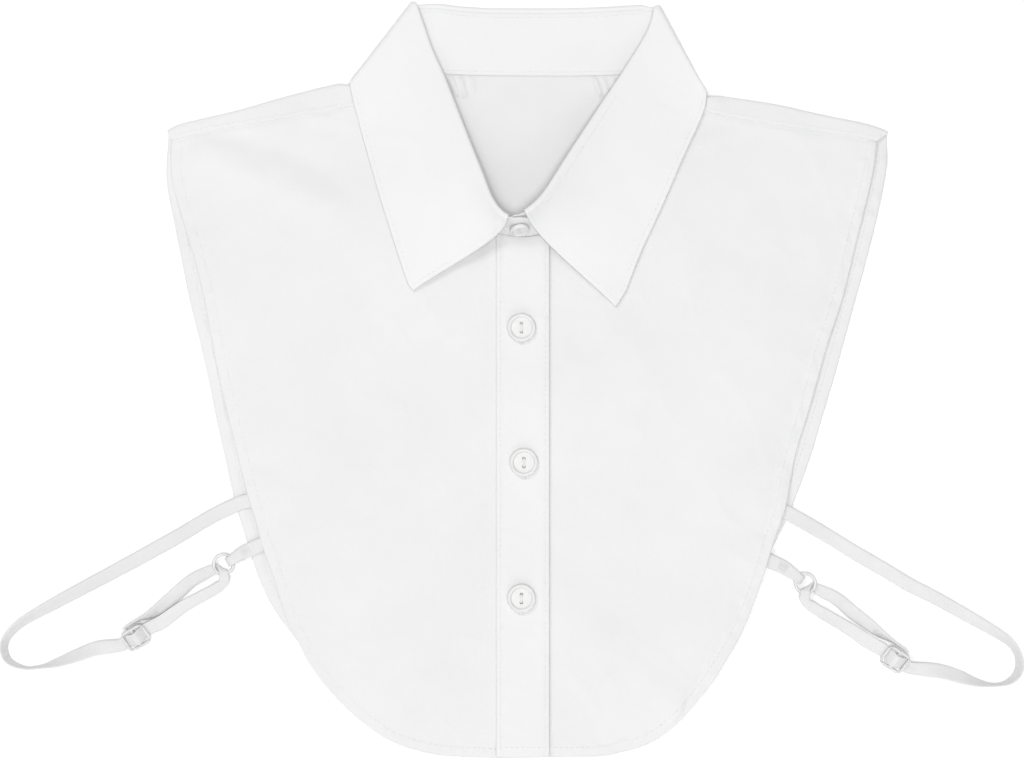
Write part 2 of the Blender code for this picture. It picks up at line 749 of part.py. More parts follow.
def build_fronts():
    """The front that laps over, on the viewer's left, and the one beneath it."""
    seam_columns, neck_columns, rows = 8, 11, 18
    left_seam = spaced(sideways(dense(LEFT_SEAM), -SEAM_GAP), seam_columns)
    right_seam = spaced(sideways(dense(RIGHT_SEAM), SEAM_GAP), seam_columns)
    over_end = neck_place(OVER_EDGE_X, 8.0, 11.0)
    under_end = neck_place(UNDER_EDGE_X, 7.0, 10.0)
    left_neck = neckline(LEFT_SEAM_PLACE + 0.05, over_end, neck_columns, NECK_GAP / 2)
    right_neck = neckline(RIGHT_SEAM_PLACE - 0.05, under_end, neck_columns, NECK_GAP / 2)
    objects = []
    for name, seam, neck, side, hem, height in (
        ("front_over", left_seam, left_neck, LEFT_FRONT_SIDE, LEFT_FRONT_HEM, over_height),
        ("front_under", right_seam, right_neck, RIGHT_FRONT_SIDE, RIGHT_FRONT_HEM, front_height),
    ):
        top = np.concatenate([seam, neck[1:]])
        bottom = spaced(dense(hem), len(top) - 1)
        outer = spaced(dense(((*top[0],),) + side[1:]), rows)
        centre = np.linspace(top[-1], bottom[-1], rows + 1)
        grid = with_height(patch(top, bottom, outer, centre), height)
        objects.append(sheet(name, [grid], CLOTH, COTTON))
    return objects


def placket_height(x, y):
    """Height of the middle of the placket."""
    return over_height(x, y) + LAYER_STEP


def build_placket():
    """Strip stitched down the centre of the front that laps over."""
    columns, rows = 4, 30
    line = np.array([at(COLLAR_FRONT, s)[:2] for s in np.linspace(7.0, 11.0, 60)])
    hem = dense(LEFT_FRONT_HEM)
    grid = np.zeros((rows + 1, columns + 1, 2))
    for i in range(columns + 1):
        x = PLACKET_LEFT_X + (PLACKET_RIGHT_X - PLACKET_LEFT_X) * i / columns
        top = np.interp(x, line[:, 0], line[:, 1]) - PLACKET_BELOW_NECK
        bottom = np.interp(x, hem[:, 0], hem[:, 1]) + PLACKET_ABOVE_HEM
        grid[:, i, 0] = x
        grid[:, i, 1] = np.linspace(top, bottom, rows + 1)
    return sheet("placket", [with_height(grid, placket_height)], CLOTH, COTTON)


def crease_direction(crease):
    """Direction up a side crease, towards the top of the collar."""
    return np.array([-crease[2], -crease[3], 0.0])


def collar_frame(place, shift):
    """Neck point, top point, way up the stand, way out of it and roll radius at a place."""
    row = at(COLLAR_FRONT, place)
    tangent = unit((at(COLLAR_FRONT, place + 0.1) - at(COLLAR_FRONT, place - 0.1))[2:5])
    height = over_height if shift > 0 else front_height
    neck = np.array([row[0], row[1], float(height(row[0], row[1]))])
    top = row[2:5].copy()
    straight = unit(top - neck)
    square = unit(straight - tangent * (straight @ tangent))
    last = len(COLLAR_FRONT) - 1
    near = min(place, last - place)
    crease = LEFT_CREASE if place < last / 2 else RIGHT_CREASE
    share = float(smooth(near / 2.5))
    up = unit(crease_direction(crease) * (1.0 - share) + square * share)
    out = unit(np.cross(tangent, up))
    if out[2] < 0:
        out = -out
    return neck + out * shift, top + out * shift, up, out, row[5]


def shift_at(place, side):
    """How far a side of the collar stands off the middle line where its ends overlap."""
    if side < 0:
        return OVERLAP_OFFSET * float(smooth((place - 7.0) / 1.2))
    return -OVERLAP_OFFSET * float(smooth((11.0 - place) / 1.2))


def side_frame(place, side):
    """Collar frame of one side of the collar; side is -1 for left and 1 for right."""
    shift = shift_at(place, side)
    neck, top, up, out, roll = collar_frame(place, shift)
    if side < 0:
        base = over_height
    else:
        base = front_height
    row = at(COLLAR_FRONT, place)
    neck[2] = float(base(row[0], row[1])) + out[2] * shift
    return neck, top, up, out, roll


def ring_frames(crease):
    """Frames round a side crease from the back to the front."""
    start = np.array([crease[0], crease[1], CREASE_Z])
    way = np.array([crease[2], crease[3], 0.0])
    side = np.array([crease[4], crease[5], 0.0])
    frames = []
    for k in range(FOLD_STEPS + 1):
        turn = math.pi * k / FOLD_STEPS
        out = side * math.sin(turn) - np.array([0.0, 0.0, 1.0]) * math.cos(turn)
        top = start + way * CREASE_TO_TOP + out * STAND_RADIUS
        neck = start + way * CREASE_TO_NECK + out * STAND_RADIUS
        edge = start + way * crease[6] + out * (STAND_RADIUS + 2.0 * STAND_RADIUS)
        frames.append((neck, top, -way, out, STAND_RADIUS, edge))
    return frames


def back_frames():
    """Frames along the back of the collar from left to right."""
    frames = []
    for row in dense(COLLAR_BACK, 1):
        neck = np.array([row[0], row[1], STAND_BACK_Z])
        top = np.array([row[2], row[3], STAND_BACK_Z])
        edge = np.array([row[4], row[5], LEAF_BACK_Z])
        frames.append((neck, top, unit(top - neck), np.array([0.0, 0.0, -1.0]), 1.0, edge))
    return frames


def stand_line(neck, top, up):
    """Points up the stand, clear of the panel at its foot."""
    level = math.hypot(up[0], up[1])
    foot = SEAM_GAP - HALF_SEAM * level + 0.5 * CLOTH * abs(up[2])
    base = neck + unit(top - neck) * foot
    return [base + (top - base) * share for share in (0.0, 0.25, 0.5, 0.75, 1.0)]


def build_stand():
    """Collar stand from its over end round the neck to its under end."""
    lines = []
    for place in LEFT_STAND_PLACES:
        neck, top, up, out, roll = side_frame(place, -1)
        if place == OVER_END:
            top = neck + (top - neck) * STAND_END
        elif place > STAND_BEND_PLACE:
            top = neck + (top - neck) * STAND_BEND
        lines.append(stand_line(neck, top, up))
    for neck, top, up, out, roll, edge in ring_frames(LEFT_CREASE)[::-1]:
        lines.append(stand_line(neck, top, up))
    for neck, top, up, out, roll, edge in back_frames():
        lines.append(stand_line(neck, top, up))
    for neck, top, up, out, roll, edge in ring_frames(RIGHT_CREASE):
        lines.append(stand_line(neck, top, up))
    for place in RIGHT_STAND_PLACES:
        neck, top, up, out, roll = side_frame(place, 1)
        if place == UNDER_END:
            top = neck + (top - neck) * STAND_END
        lines.append(stand_line(neck, top, up))
    return sheet("collar_stand", [np.array(lines)], CLOTH, COTTON)


def roll_points(top, up, out, radius):
    """Points from the top of the stand over the roll of the collar."""
    centre = top + up * ROLL_LIFT + out * radius
    points = [top + up * ROLL_START]
    for k in range(ROLL_STEPS + 1):
        turn = math.pi * k / ROLL_STEPS
        points.append(centre + up * radius * math.sin(turn) - out * radius * math.cos(turn))
    return points


def fall_points(start, up, edge, draped):
    """Points down the fall of the collar from the roll to its outer edge."""
    if not draped:
        return [start + (edge - start) * share for share in FALL_SHARES]
    length = np.linalg.norm(edge - start)
    first = start - up * FALL_PULL * length
    second = edge + (start - edge) * FALL_PULL
    second[2] = edge[2] + 0.5 * (second[2] - edge[2])
    points = []
    for t in FALL_SHARES:
        s = 1.0 - t
        point = s ** 3 * start + 3 * s * s * t * first + 3 * s * t * t * second + t ** 3 * edge
        floor = float(front_height(point[0], point[1])) + LEAF_ON_PANEL
        gap = point[2] - floor
        point[2] = floor + 0.5 * (gap + math.hypot(gap, FALL_SOFTNESS))
        points.append(point)
    return points


def leaf_edge(place, side):
    """Outer edge of the leaf for a place along the collar."""
    if side < 0:
        rows, end, tip, along = LEFT_LEAF_EDGE, LEFT_LEAF_END, LEFT_POINT, place
    else:
        last = len(COLLAR_FRONT) - 1
        rows, end, tip, along = RIGHT_LEAF_EDGE, last - RIGHT_LEAF_END, RIGHT_POINT, last - place
    if along > len(rows) - 1:
        share = (along - (len(rows) - 1)) / (end - (len(rows) - 1))
        x, y = (1.0 - share) * np.array(rows[-1]) + share * np.array(tip)
    else:
        x, y = at(rows, along)
    return np.array([x, y, float(front_height(x, y)) + LEAF_ON_PANEL])


def leaf_line(place, side):
    """Points of the leaf from the stand to its outer edge at a place."""
    neck, top, up, out, roll = side_frame(place, side)
    points = roll_points(top, up, out, roll)
    return points + fall_points(points[-1], up, leaf_edge(place, side), True)


def build_leaf():
    """Collar leaf from point to point, turned down over the stand."""
    lines = []
    for place in LEFT_LEAF_PLACES:
        lines.append(leaf_line(place, -1))
    frames = ring_frames(LEFT_CREASE)[::-1] + back_frames() + ring_frames(RIGHT_CREASE)
    for neck, top, up, out, roll, edge in frames:
        points = roll_points(top, up, out, roll)
        lines.append(points + fall_points(points[-1], up, edge, False))
    for place in RIGHT_LEAF_PLACES:
        lines.append(leaf_line(place, 1))
    return sheet("collar_leaf", [np.array(lines)], CLOTH, COTTON)


def strand(rows, side):
    """Rows of a strap with the heading of its width, to the left of its way times side."""
    rows = np.asarray(rows, float)
    step = np.gradient(rows[:, :2], axis=0)
    heading = np.degrees(np.arctan2(step[:, 1], step[:, 0])) + 90.0 * side
    return [(*row, turn) for row, turn in zip(rows, heading)]


def bearing(x, y):
    """Angle of a direction in degrees."""
    return math.degrees(math.atan2(y, x))


def slider_rows(slider, width):
    """Rows of the strap woven through a slider."""
    x, y, ax, ay, raised = slider
    length = math.hypot(ax, ay)
    ax, ay = ax / length, ay / length
    tilt = math.radians(SLIDER_TILT) * raised
    side = (-ay, ax)
    rows = []
    for along, off in SLIDER_WEAVE:
        lean = -off * math.sin(tilt)
        rows.append((x + ax * along + side[0] * lean, y + ay * along + side[1] * lean,
                     SLIDER_Z + off * math.cos(tilt), math.degrees(tilt), width, bearing(*side)))
    return rows


def ring_rows(ring):
    """Rows of the strap over the ring, through it and out beneath it."""
    x, y, bx, by, ax, ay = ring[:6]
    over, under = unit((bx, by)), unit((ax, ay))
    middle = unit(over + under)
    over_turn = bearing(over[1], -over[0])
    under_turn = bearing(under[1], -under[0])
    under_turn = over_turn + (under_turn - over_turn + 180.0) % 360.0 - 180.0
    rows = []
    for reach, z, width in RING_OVER:
        rows.append((x + over[0] * reach, y + over[1] * reach, z, 0.0, width, over_turn))
    reach, z, width = RING_HOLE
    rows.append((x + middle[0] * reach, y + middle[1] * reach, z, 0.0, width,
                 0.5 * (over_turn + under_turn)))
    for reach, z, width in RING_UNDER:
        rows.append((x + under[0] * reach, y + under[1] * reach, z, 0.0, width, under_turn))
    return rows


def tab_rows(ring):
    """Rows of the tab over the ring, through it and back beneath itself."""
    x, y = ring[:2]
    way = unit(ring[6:8])
    turn = bearing(way[1], -way[0])
    path = RING_OVER[1:] + (RING_HOLE,) + RING_UNDER + ((TAB_END, 0.6, 6.0),)
    return [(x + way[0] * reach, y + way[1] * reach, z, 0.0, width, turn)
            for reach, z, width in path]


def ribbon(name, rows, steps):
    """Flat tape along rows of x y z, lift, width and heading."""
    rows = np.array(rows, float)
    rows[:, 5] = np.degrees(np.unwrap(np.radians(rows[:, 5])))
    lines = []
    for row in dense(rows, steps):
        x, y, z, lift, width, turn = row
        lift, turn = math.radians(lift), math.radians(turn)
        lowest = 0.5 * width * abs(math.sin(lift)) + 0.5 * TAPE * math.cos(lift) + 0.02
        centre = np.array([x, y, max(z, lowest)])
        across = np.array([math.cos(turn) * math.cos(lift), math.sin(turn) * math.cos(lift),
                           math.sin(lift)])
        lines.append([centre + across * width * share for share in (-0.5, 0.0, 0.5)])
    return sheet(name, [np.array(lines)], TAPE, ELASTIC)


def build_straps():
    """Elastic straps and the tabs that hold their rings."""
    for name, run, lower, upper, ring, slider in (
        ("left", LEFT_RUN, LEFT_LOWER, LEFT_UPPER, LEFT_RING, LEFT_SLIDER),
        ("right", RIGHT_RUN, RIGHT_LOWER, RIGHT_UPPER, RIGHT_RING, RIGHT_SLIDER),
    ):
        rows = strand(run, 1) + slider_rows(slider, STRAP_WIDTH) + strand(lower, 1)
        rows = rows + ring_rows(ring) + strand(upper, -1)
        ribbon("strap_" + name, rows, 2)
    for name, body, ring in (("left", LEFT_TAB, LEFT_RING), ("right", RIGHT_TAB, RIGHT_RING)):
        ribbon("tab_" + name, strand(body, 1) + tab_rows(ring), 2)


def turned(name, profile, steps, look, closed):
    """Solid turned from a profile of radius and height about its own axis."""
    mesh = bmesh.new()
    points = [mesh.verts.new(Vector((radius, 0.0, z)) * MM) for radius, z in profile]
    for a, b in zip(points[:-1], points[1:]):
        mesh.edges.new((a, b))
    if closed:
        mesh.edges.new((points[-1], points[0]))
    data = bpy.data.meshes.new(name)
    mesh.to_mesh(data)
    mesh.free()
    obj = bpy.data.objects.new(name, data)
    home.objects.link(obj)
    turn = obj.modifiers.new("turn", "SCREW")
    turn.axis = "Z"
    turn.angle = 2.0 * math.pi
    turn.steps = steps
    turn.render_steps = steps
    turn.use_merge_vertices = True
    turn.merge_threshold = 0.000001
    turn.use_normal_calculate = True
    colour(obj, look)
    return obj


def placed(centre, x_way, z_way):
    """Placing of a part with its own x and z along two directions."""
    z_way = unit(z_way)
    x_way = unit(np.asarray(x_way, float) - z_way * (np.asarray(x_way, float) @ z_way))
    y_way = np.cross(z_way, x_way)
    matrix = Matrix.Identity(4)
    for k in range(3):
        matrix[k][0], matrix[k][1], matrix[k][2] = x_way[k], y_way[k], z_way[k]
        matrix[k][3] = centre[k] * MM
    return matrix


def build_button(name, radius, place):
    """Two-hole button with a raised rim."""
    profile = [(share * radius, rise * BUTTON_HEIGHT) for share, rise in BUTTON_PROFILE]
    obj = turned(name, profile, BUTTON_STEPS, PEARL, False)
    obj.matrix_world = place
    apart = BUTTON_HOLE_APART * radius / BUTTON_RADIUS
    hole = BUTTON_HOLE if radius == BUTTON_RADIUS else NECK_BUTTON_HOLE
    for side in (-0.5, 0.5):
        bpy.ops.mesh.primitive_cylinder_add(vertices=10, radius=hole * MM,
                                            depth=3.0 * BUTTON_HEIGHT * MM)
        cutter = bpy.context.active_object
        cutter.name = f"{name}_hole_{'low' if side < 0 else 'high'}"
        for holder in list(cutter.users_collection):
            holder.objects.unlink(cutter)
        home.objects.link(cutter)
        cutter.matrix_world = (place @ Matrix.Translation((0.0, apart * side * MM, 0.0))
                               @ Matrix.Rotation(BUTTON_HOLE_TURN, 4, "Z"))
        cutter.hide_render = True
        cut = obj.modifiers.new("hole", "BOOLEAN")
        cut.operation = "DIFFERENCE"
        cut.solver = "EXACT"
        cut.object = cutter
    return obj


def build_buttons():
    """Three buttons down the placket and one on the collar stand."""
    for number, (x, y) in enumerate(BUTTONS, 1):
        reach = BUTTON_RADIUS
        around = [(0, 0), (reach, 0), (-reach, 0), (0, reach), (0, -reach)]
        high = max(float(placket_height(x + dx, y + dy)) for dx, dy in around)
        centre = (x, y, high + CLOTH / 2 + SEAM_GAP)
        build_button(f"button_{number}", BUTTON_RADIUS, placed(centre, (1, 0, 0), (0, 0, 1)))
    neck, top, up, out, roll = side_frame(9.0, -1)
    centre = neck + (top - neck) * 0.52 + out * (CLOTH / 2 + SEAM_GAP + 0.1)
    build_button("neck_button", NECK_BUTTON_RADIUS, placed(centre, np.cross(up, out), out))


def build_rings():
    """Rings that join each strap to its tab."""
    for name, ring in (("ring_left", LEFT_RING), ("ring_right", RIGHT_RING)):
        profile = []
        for k in range(10):
            turn = 2.0 * math.pi * k / 10
            profile.append((RING_RADIUS + RING_WIRE * math.cos(turn), RING_WIRE * math.sin(turn)))
        obj = turned(name, profile, RING_STEPS, CLEAR, True)
        obj.matrix_world = placed((ring[0], ring[1], RING_Z), (1, 0, 0), (0, 0, 1))


def rounded(half_x, half_y, radius, centre_x):
    """Corner points of a rounded rectangle."""
    points = []
    for quarter, (sx, sy) in enumerate(((1, 1), (-1, 1), (-1, -1), (1, -1))):
        for k in range(4):
            turn = math.pi / 2 * (quarter + k / 3)
            points.append((centre_x + sx * (half_x - radius) + radius * math.cos(turn),
                           sy * (half_y - radius) + radius * math.sin(turn)))
    return points


def build_sliders():
    """Three-bar sliders on the straps."""
    edge = 0.25
    for name, slider in (("slider_left", LEFT_SLIDER), ("slider_right", RIGHT_SLIDER)):
        data = bpy.data.curves.new(name, "CURVE")
        data.dimensions = "2D"
        data.fill_mode = "BOTH"
        data.extrude = (SLIDER_THICK / 2 - edge) * MM
        data.bevel_depth = edge * MM
        data.bevel_resolution = 1
        half_x, half_y = SLIDER_LENGTH / 2 - edge, SLIDER_WIDTH / 2 - edge
        window = (SLIDER_LENGTH - 3 * SLIDER_BAR) / 4 + edge
        middle = SLIDER_BAR / 2 + window - edge
        outlines = [rounded(half_x, half_y, SLIDER_CORNER, 0.0)]
        for side in (-1, 1):
            outlines.append(rounded(window, SLIDER_WIDTH / 2 - SLIDER_BAR + edge, 0.8, side * middle))
        for outline in outlines:
            line = data.splines.new("POLY")
            line.points.add(len(outline) - 1)
            for point, (x, y) in zip(line.points, outline):
                point.co = (x * MM, y * MM, 0.0, 1.0)
            line.use_cyclic_u = True
        obj = bpy.data.objects.new(name, data)
        home.objects.link(obj)
        x, y, ax, ay, raised = slider
        way = unit((ax, ay, 0.0))
        side = np.array([-way[1], way[0], 0.0])
        tilt = math.radians(SLIDER_TILT) * raised
        normal = np.array([0.0, 0.0, 1.0]) * math.cos(tilt) - side * math.sin(tilt)
        obj.matrix_world = placed((x, y, SLIDER_Z), way, normal)
        colour(obj, CLEAR)


for item in list(bpy.data.objects):
    bpy.data.objects.remove(item, do_unlink=True)
home = bpy.data.collections.new(OBJECT_NAME)
bpy.context.scene.collection.children.link(home)

build_back()
build_fronts()
build_placket()
build_stand()
build_leaf()
build_straps()
build_buttons()
build_rings()
build_sliders()
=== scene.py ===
import json
import math

import bmesh
import bpy
import numpy as np
from mathutils import Matrix, Vector
from mathutils.bvhtree import BVHTree

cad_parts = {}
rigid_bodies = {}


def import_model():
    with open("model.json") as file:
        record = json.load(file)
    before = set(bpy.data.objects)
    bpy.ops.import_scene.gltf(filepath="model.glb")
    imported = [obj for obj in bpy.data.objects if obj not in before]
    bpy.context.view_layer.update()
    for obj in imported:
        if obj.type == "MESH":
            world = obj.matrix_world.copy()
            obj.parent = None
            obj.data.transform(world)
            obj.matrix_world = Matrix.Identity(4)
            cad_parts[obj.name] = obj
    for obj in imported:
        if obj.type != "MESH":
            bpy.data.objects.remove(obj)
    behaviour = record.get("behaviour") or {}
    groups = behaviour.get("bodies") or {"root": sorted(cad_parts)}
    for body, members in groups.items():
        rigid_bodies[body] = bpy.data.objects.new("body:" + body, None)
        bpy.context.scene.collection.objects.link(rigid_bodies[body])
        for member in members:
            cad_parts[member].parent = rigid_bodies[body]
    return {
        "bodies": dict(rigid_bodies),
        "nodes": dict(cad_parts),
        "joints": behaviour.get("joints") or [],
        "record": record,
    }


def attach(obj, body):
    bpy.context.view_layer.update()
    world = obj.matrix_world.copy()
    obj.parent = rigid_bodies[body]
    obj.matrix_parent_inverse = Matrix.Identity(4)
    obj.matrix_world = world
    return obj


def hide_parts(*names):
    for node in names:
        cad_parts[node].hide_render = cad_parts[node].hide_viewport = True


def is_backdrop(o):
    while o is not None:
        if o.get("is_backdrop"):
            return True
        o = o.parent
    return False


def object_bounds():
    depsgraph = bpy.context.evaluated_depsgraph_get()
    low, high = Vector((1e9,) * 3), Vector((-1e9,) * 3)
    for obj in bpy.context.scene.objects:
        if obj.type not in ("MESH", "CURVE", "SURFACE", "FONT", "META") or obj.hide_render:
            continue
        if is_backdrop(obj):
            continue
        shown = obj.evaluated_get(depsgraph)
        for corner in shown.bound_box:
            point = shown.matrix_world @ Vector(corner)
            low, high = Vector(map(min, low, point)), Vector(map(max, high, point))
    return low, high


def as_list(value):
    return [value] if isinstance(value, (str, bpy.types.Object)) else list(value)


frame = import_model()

CAD_BOUNDS = [list(corner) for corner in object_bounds()]

# Frame: X to the viewer's right, Y towards the collar, Z up off the surface it lies on.
# Sizes and tables are in millimetres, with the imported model's own places.
MM = 0.001
TURN = 2.0 * math.pi
UP = np.array([0.0, 0.0, 1.0])
# Metres within which doubled points are joined
WELD = 2e-6

# Walls and gaps
CLOTH = 1.0
TAPE = 1.0
SEAM_GAP = 0.3
HALF_SEAM = 0.15
NECK_GAP = 0.4
LAYER_STEP = 1.3

# Heights of the middle of each layer
BACK_Z = 0.5
BACK_RISE = 2.0
BACK_TO_FRONT = 2.0
FOLD_RADIUS = 1.0

# Collar
CREASE_Z = 3.5
STAND_RADIUS = 1.0
STAND_BACK_Z = 2.5
LEAF_BACK_Z = 0.5
CREASE_TO_TOP = 2.7
CREASE_TO_NECK = 32.1
ROLL_START = 0.3
ROLL_LIFT = 1.2
LEAF_ON_PANEL = 1.5
OVERLAP_OFFSET = 0.75
# Places along the front of the collar where the overlap starts on each side, and its run
OVERLAP_LEFT = 7.0
OVERLAP_RIGHT = 11.0
OVERLAP_RUN = 1.2
# Places over which the collar turns from its side creases, and where the stand's ends round
CREASE_REACH = 2.5
OVER_ROUNDS = 9.0
UNDER_ROUNDS = 8.9
OVER_END = 9.75
UNDER_END = 8.3
LEFT_SEAM_PLACE = 2.3
RIGHT_SEAM_PLACE = 15.65
LEFT_LEAF_END = 8.45
RIGHT_LEAF_END = 9.55

# Front opening
OVER_EDGE_X = 13.6
UNDER_EDGE_X = -13.0
OVER_BLEND_X = -22.0
OVER_BLEND = 8.0
PLACKET_LEFT_X = -12.2
PLACKET_RIGHT_X = 13.9
PLACKET_BELOW_NECK = 1.8
PLACKET_ABOVE_HEM = 0.5

# Buttons: centre x y
BUTTONS = ((0.2, 26.0), (1.4, -41.0), (0.2, -108.5))
BUTTON_RADIUS = 7.2
NECK_BUTTON_RADIUS = 5.0
BUTTON_HEIGHT = 2.4
BUTTON_HOLE_APART = 4.0
# Strap hardware
RING_RADIUS = 4.9
RING_WIRE = 0.85
RING_Z = 2.3
SLIDER_LENGTH = 13.0
SLIDER_WIDTH = 12.0
SLIDER_BAR = 1.5
SLIDER_THICK = 1.3
SLIDER_Z = 3.65
SLIDER_TILT = 25.0
SLIDER_CORNER = 3.0
SLIDER_ROUND = 0.5
STRAP_WIDTH = 6.8

# Left shoulder fold from the tip to the neck: x y
LEFT_SHOULDER = (
    (-176.7, 124.8), (-170.2, 127.8), (-160.2, 130.3), (-140.3, 135), (-120.3, 140.8),
    (-100.3, 146), (-91.4, 147.6), (-85.4, 147.2), (-81.2, 149.2), (-78.9, 154.2), (-75.7, 158.7),
    (-72.5, 162.7),
)
# Right shoulder fold from the tip to the neck: x y
RIGHT_SHOULDER = (
    (183.2, 124.3), (176.7, 126.8), (169.2, 128.8), (149.2, 132.8), (129.3, 137.3), (109.3, 140.5),
    (99.3, 141.8), (93.6, 141.6), (89.4, 143.4), (87, 147.8), (84.9, 153.5), (82.6, 158.1),
)
# Left side of the back from the shoulder tip down: x y
LEFT_BACK_SIDE = (
    (-177.4, 123.4), (-176.9, 100), (-173.4, 80), (-169.4, 60), (-165.4, 40), (-160.4, 20),
    (-155.9, 0), (-151.9, -20), (-147.4, -40), (-142.9, -60), (-136.9, -80), (-130.4, -100),
    (-124, -113), (-115, -125.9), (-102.5, -140.9), (-87.5, -153.9),
)
# Right side of the back from the shoulder tip down: x y
RIGHT_BACK_SIDE = (
    (183.9, 122.9), (182.4, 105), (177.4, 80), (172.4, 60), (166.9, 40), (161.4, 20), (155.9, 0),
    (149.9, -20), (143.9, -40), (136.4, -60), (132.4, -70), (127.9, -79), (122.4, -90),
    (115.5, -105), (104.5, -125.9), (91, -145.9),
)
# Hem of the back from left to right: x y
BACK_HEM = (
    (-87.5, -153.9), (-70.5, -164.9), (-50.5, -172.9), (-25.5, -177.4), (4.5, -178.9),
    (34.5, -177.4), (57, -171.9), (75.5, -161.4), (91, -145.9),
)
# Forward shoulder seams from the tip to the neck: x y
LEFT_SEAM = (
    (-174.6, 119.7), (-160.1, 123.2), (-135.2, 127.7), (-109.2, 132.2), (-85.3, 136.2),
    (-67.1, 139.2),
)
RIGHT_SEAM = (
    (177.5, 119.2), (164.1, 121.7), (139.1, 125.4), (109.2, 130.2), (91.8, 133.7), (76.5, 136.7),
)
# Left side of the front from the shoulder seam down: x y
LEFT_FRONT_SIDE = (
    (-174.3, 119.2), (-174.1, 100.7), (-169.1, 80.8), (-163.1, 61.3), (-158.6, 42.9),
    (-155.1, 24.4), (-151.1, 4), (-144.7, -23.9), (-137.7, -51.9), (-133.2, -67.3), (-129.2, -81.3),
    (-125.2, -93.3), (-120.7, -107.2), (-116.7, -120.2), (-111.7, -129.7), (-106.2, -140.2),
    (-99.3, -150.1), (-91.3, -159.6),
)
# Right side of the front from the shoulder seam down: x y
RIGHT_FRONT_SIDE = (
    (177.3, 118.7), (175.1, 101.2), (167.6, 70.3), (160.1, 39.9), (152.6, 17), (144.1, -13.5),
    (137.1, -36.4), (132.2, -61.3), (128.2, -74.3), (124.9, -83.8), (120.7, -97.8), (116.7, -109.7),
    (112.7, -119.7), (108.2, -129.7), (102.2, -139.7), (95.8, -150.1), (88.3, -159.6),
)
# Hem of each front from its side to its centre edge: x y
LEFT_FRONT_HEM = (
    (-91.3, -159.6), (-80.4, -169.7), (-65.9, -179.7), (-52.4, -184.7), (-40.4, -187.2),
    (-20.5, -188.4), (0, -188.3), (13.6, -188),
)
RIGHT_FRONT_HEM = (
    (88.3, -159.6), (79.4, -169.7), (69.4, -178.2), (59.4, -183.2), (49.4, -185.9), (39.4, -187.7),
    (19.5, -188.2), (0, -188.2), (-13, -188.4),
)
# Front of the collar, left crease to right crease: neck x y, top of stand x y z, roll radius
COLLAR_FRONT = (
    (-71.24, 161.85, -53.28, 185.12, 4.5, 1), (-70.3, 153.4, -50.2, 175.5, 4.6, 1),
    (-68.3, 143.5, -46.3, 164, 5, 1), (-64.8, 131.5, -40.3, 150.5, 6.2, 1.1),
    (-59.8, 118.1, -34.2, 134.8, 8.4, 1.2), (-53.3, 105.6, -27.7, 118.2, 11.5, 1.2),
    (-44.4, 93.6, -21.2, 102.4, 16, 1.2), (-31.4, 82.7, -15.3, 88.8, 20.5, 1.2),
    (-16.5, 75.2, -8.9, 82.2, 23.5, 1.15), (0, 71.7, -2.1, 80.1, 24.5, 1.15),
    (15.9, 74.7, 5.8, 84.3, 23.5, 1.15), (31.4, 81.7, 13.2, 92.5, 20.5, 1.2),
    (45.3, 91.2, 22.1, 105.9, 16.2, 1.2), (57.3, 103.1, 32.1, 121.1, 12, 1.2),
    (66.7, 116.6, 42.1, 136.3, 8.6, 1.2), (73.7, 129.5, 51.1, 149.9, 6.4, 1.1),
    (78.2, 141, 59.1, 162.5, 5.1, 1), (80.2, 148.4, 65.1, 173.5, 4.6, 1),
    (81.2, 157.5, 67.46, 183.5, 4.5, 1),
)
# Outer edge of each side of the leaf from its crease to its point: x y
LEFT_LEAF_EDGE = (
    (-82, 147.6), (-83.4, 140.4), (-81.2, 131), (-78.2, 119.5), (-74.2, 105.6), (-69.7, 90.1),
    (-64.7, 74.2), (-59.8, 58.8), (-56, 47.8),
)
LEFT_POINT = (-53.8, 44.8)
RIGHT_LEAF_EDGE = (
    (88.4, 143.3), (91.6, 138.9), (90.6, 133.4), (86.6, 124), (80.6, 111), (74.2, 96.1),
    (66.7, 79.2), (58.7, 61.7), (52.3, 44.8),
)
RIGHT_POINT = (47.2, 36.8)
# Back of the collar, left to right: neck x y, top of stand x y, outer edge of leaf x y
COLLAR_BACK = (
    (-63.4, 157.7, -48.4, 185.4, -73, 143.5), (-52.9, 154.7, -41.4, 185.4, -60.5, 141),
    (-37.9, 153, -32, 184.2, -40.5, 139.5), (-18, 152.2, -17, 183.2, -18, 139),
    (4.5, 152, 4.5, 183, 4.5, 139), (26.9, 152, 24.5, 183.1, 27, 139),
    (46.9, 152.5, 40.9, 183.7, 47, 139.5), (61.9, 153.5, 52.4, 184.4, 64.5, 140.5),
    (73.4, 155.2, 60.9, 184.9, 79.5, 142),
)
# Side creases: axis start x y, direction x y, side out of the neck x y, leaf length along it
LEFT_CREASE = (-51.63, 187.26, -0.611, -0.7915, -0.7915, 0.611, 49.0)
RIGHT_CREASE = (66.2, 185.87, 0.467, -0.884, 0.884, 0.467, 46.4)

# Where the panels lie over the back of the leaf
LEAF_BED_Y = 126.0
LEAF_BED_SLOPE = 13.0
LEAF_BED_LEFT = -97.0
LEAF_BED_RIGHT = 104.0
LEAF_BED_SIDE = 10.0
# Oval round the neck that lifts the fronts: centre x y, half sizes, and where the lift ends
NECK_OVAL = (5.0, 150.0, 72.0, 80.0)
NECK_OVAL_END = 1.45
# Straight guides along the sides of the fronts
SIDE_TOP_Y = 120.0
SIDE_LEFT_X = -172.0
SIDE_LEFT_SLOPE = 0.209
SIDE_RIGHT_X = 180.0
SIDE_RIGHT_SLOPE = 0.27
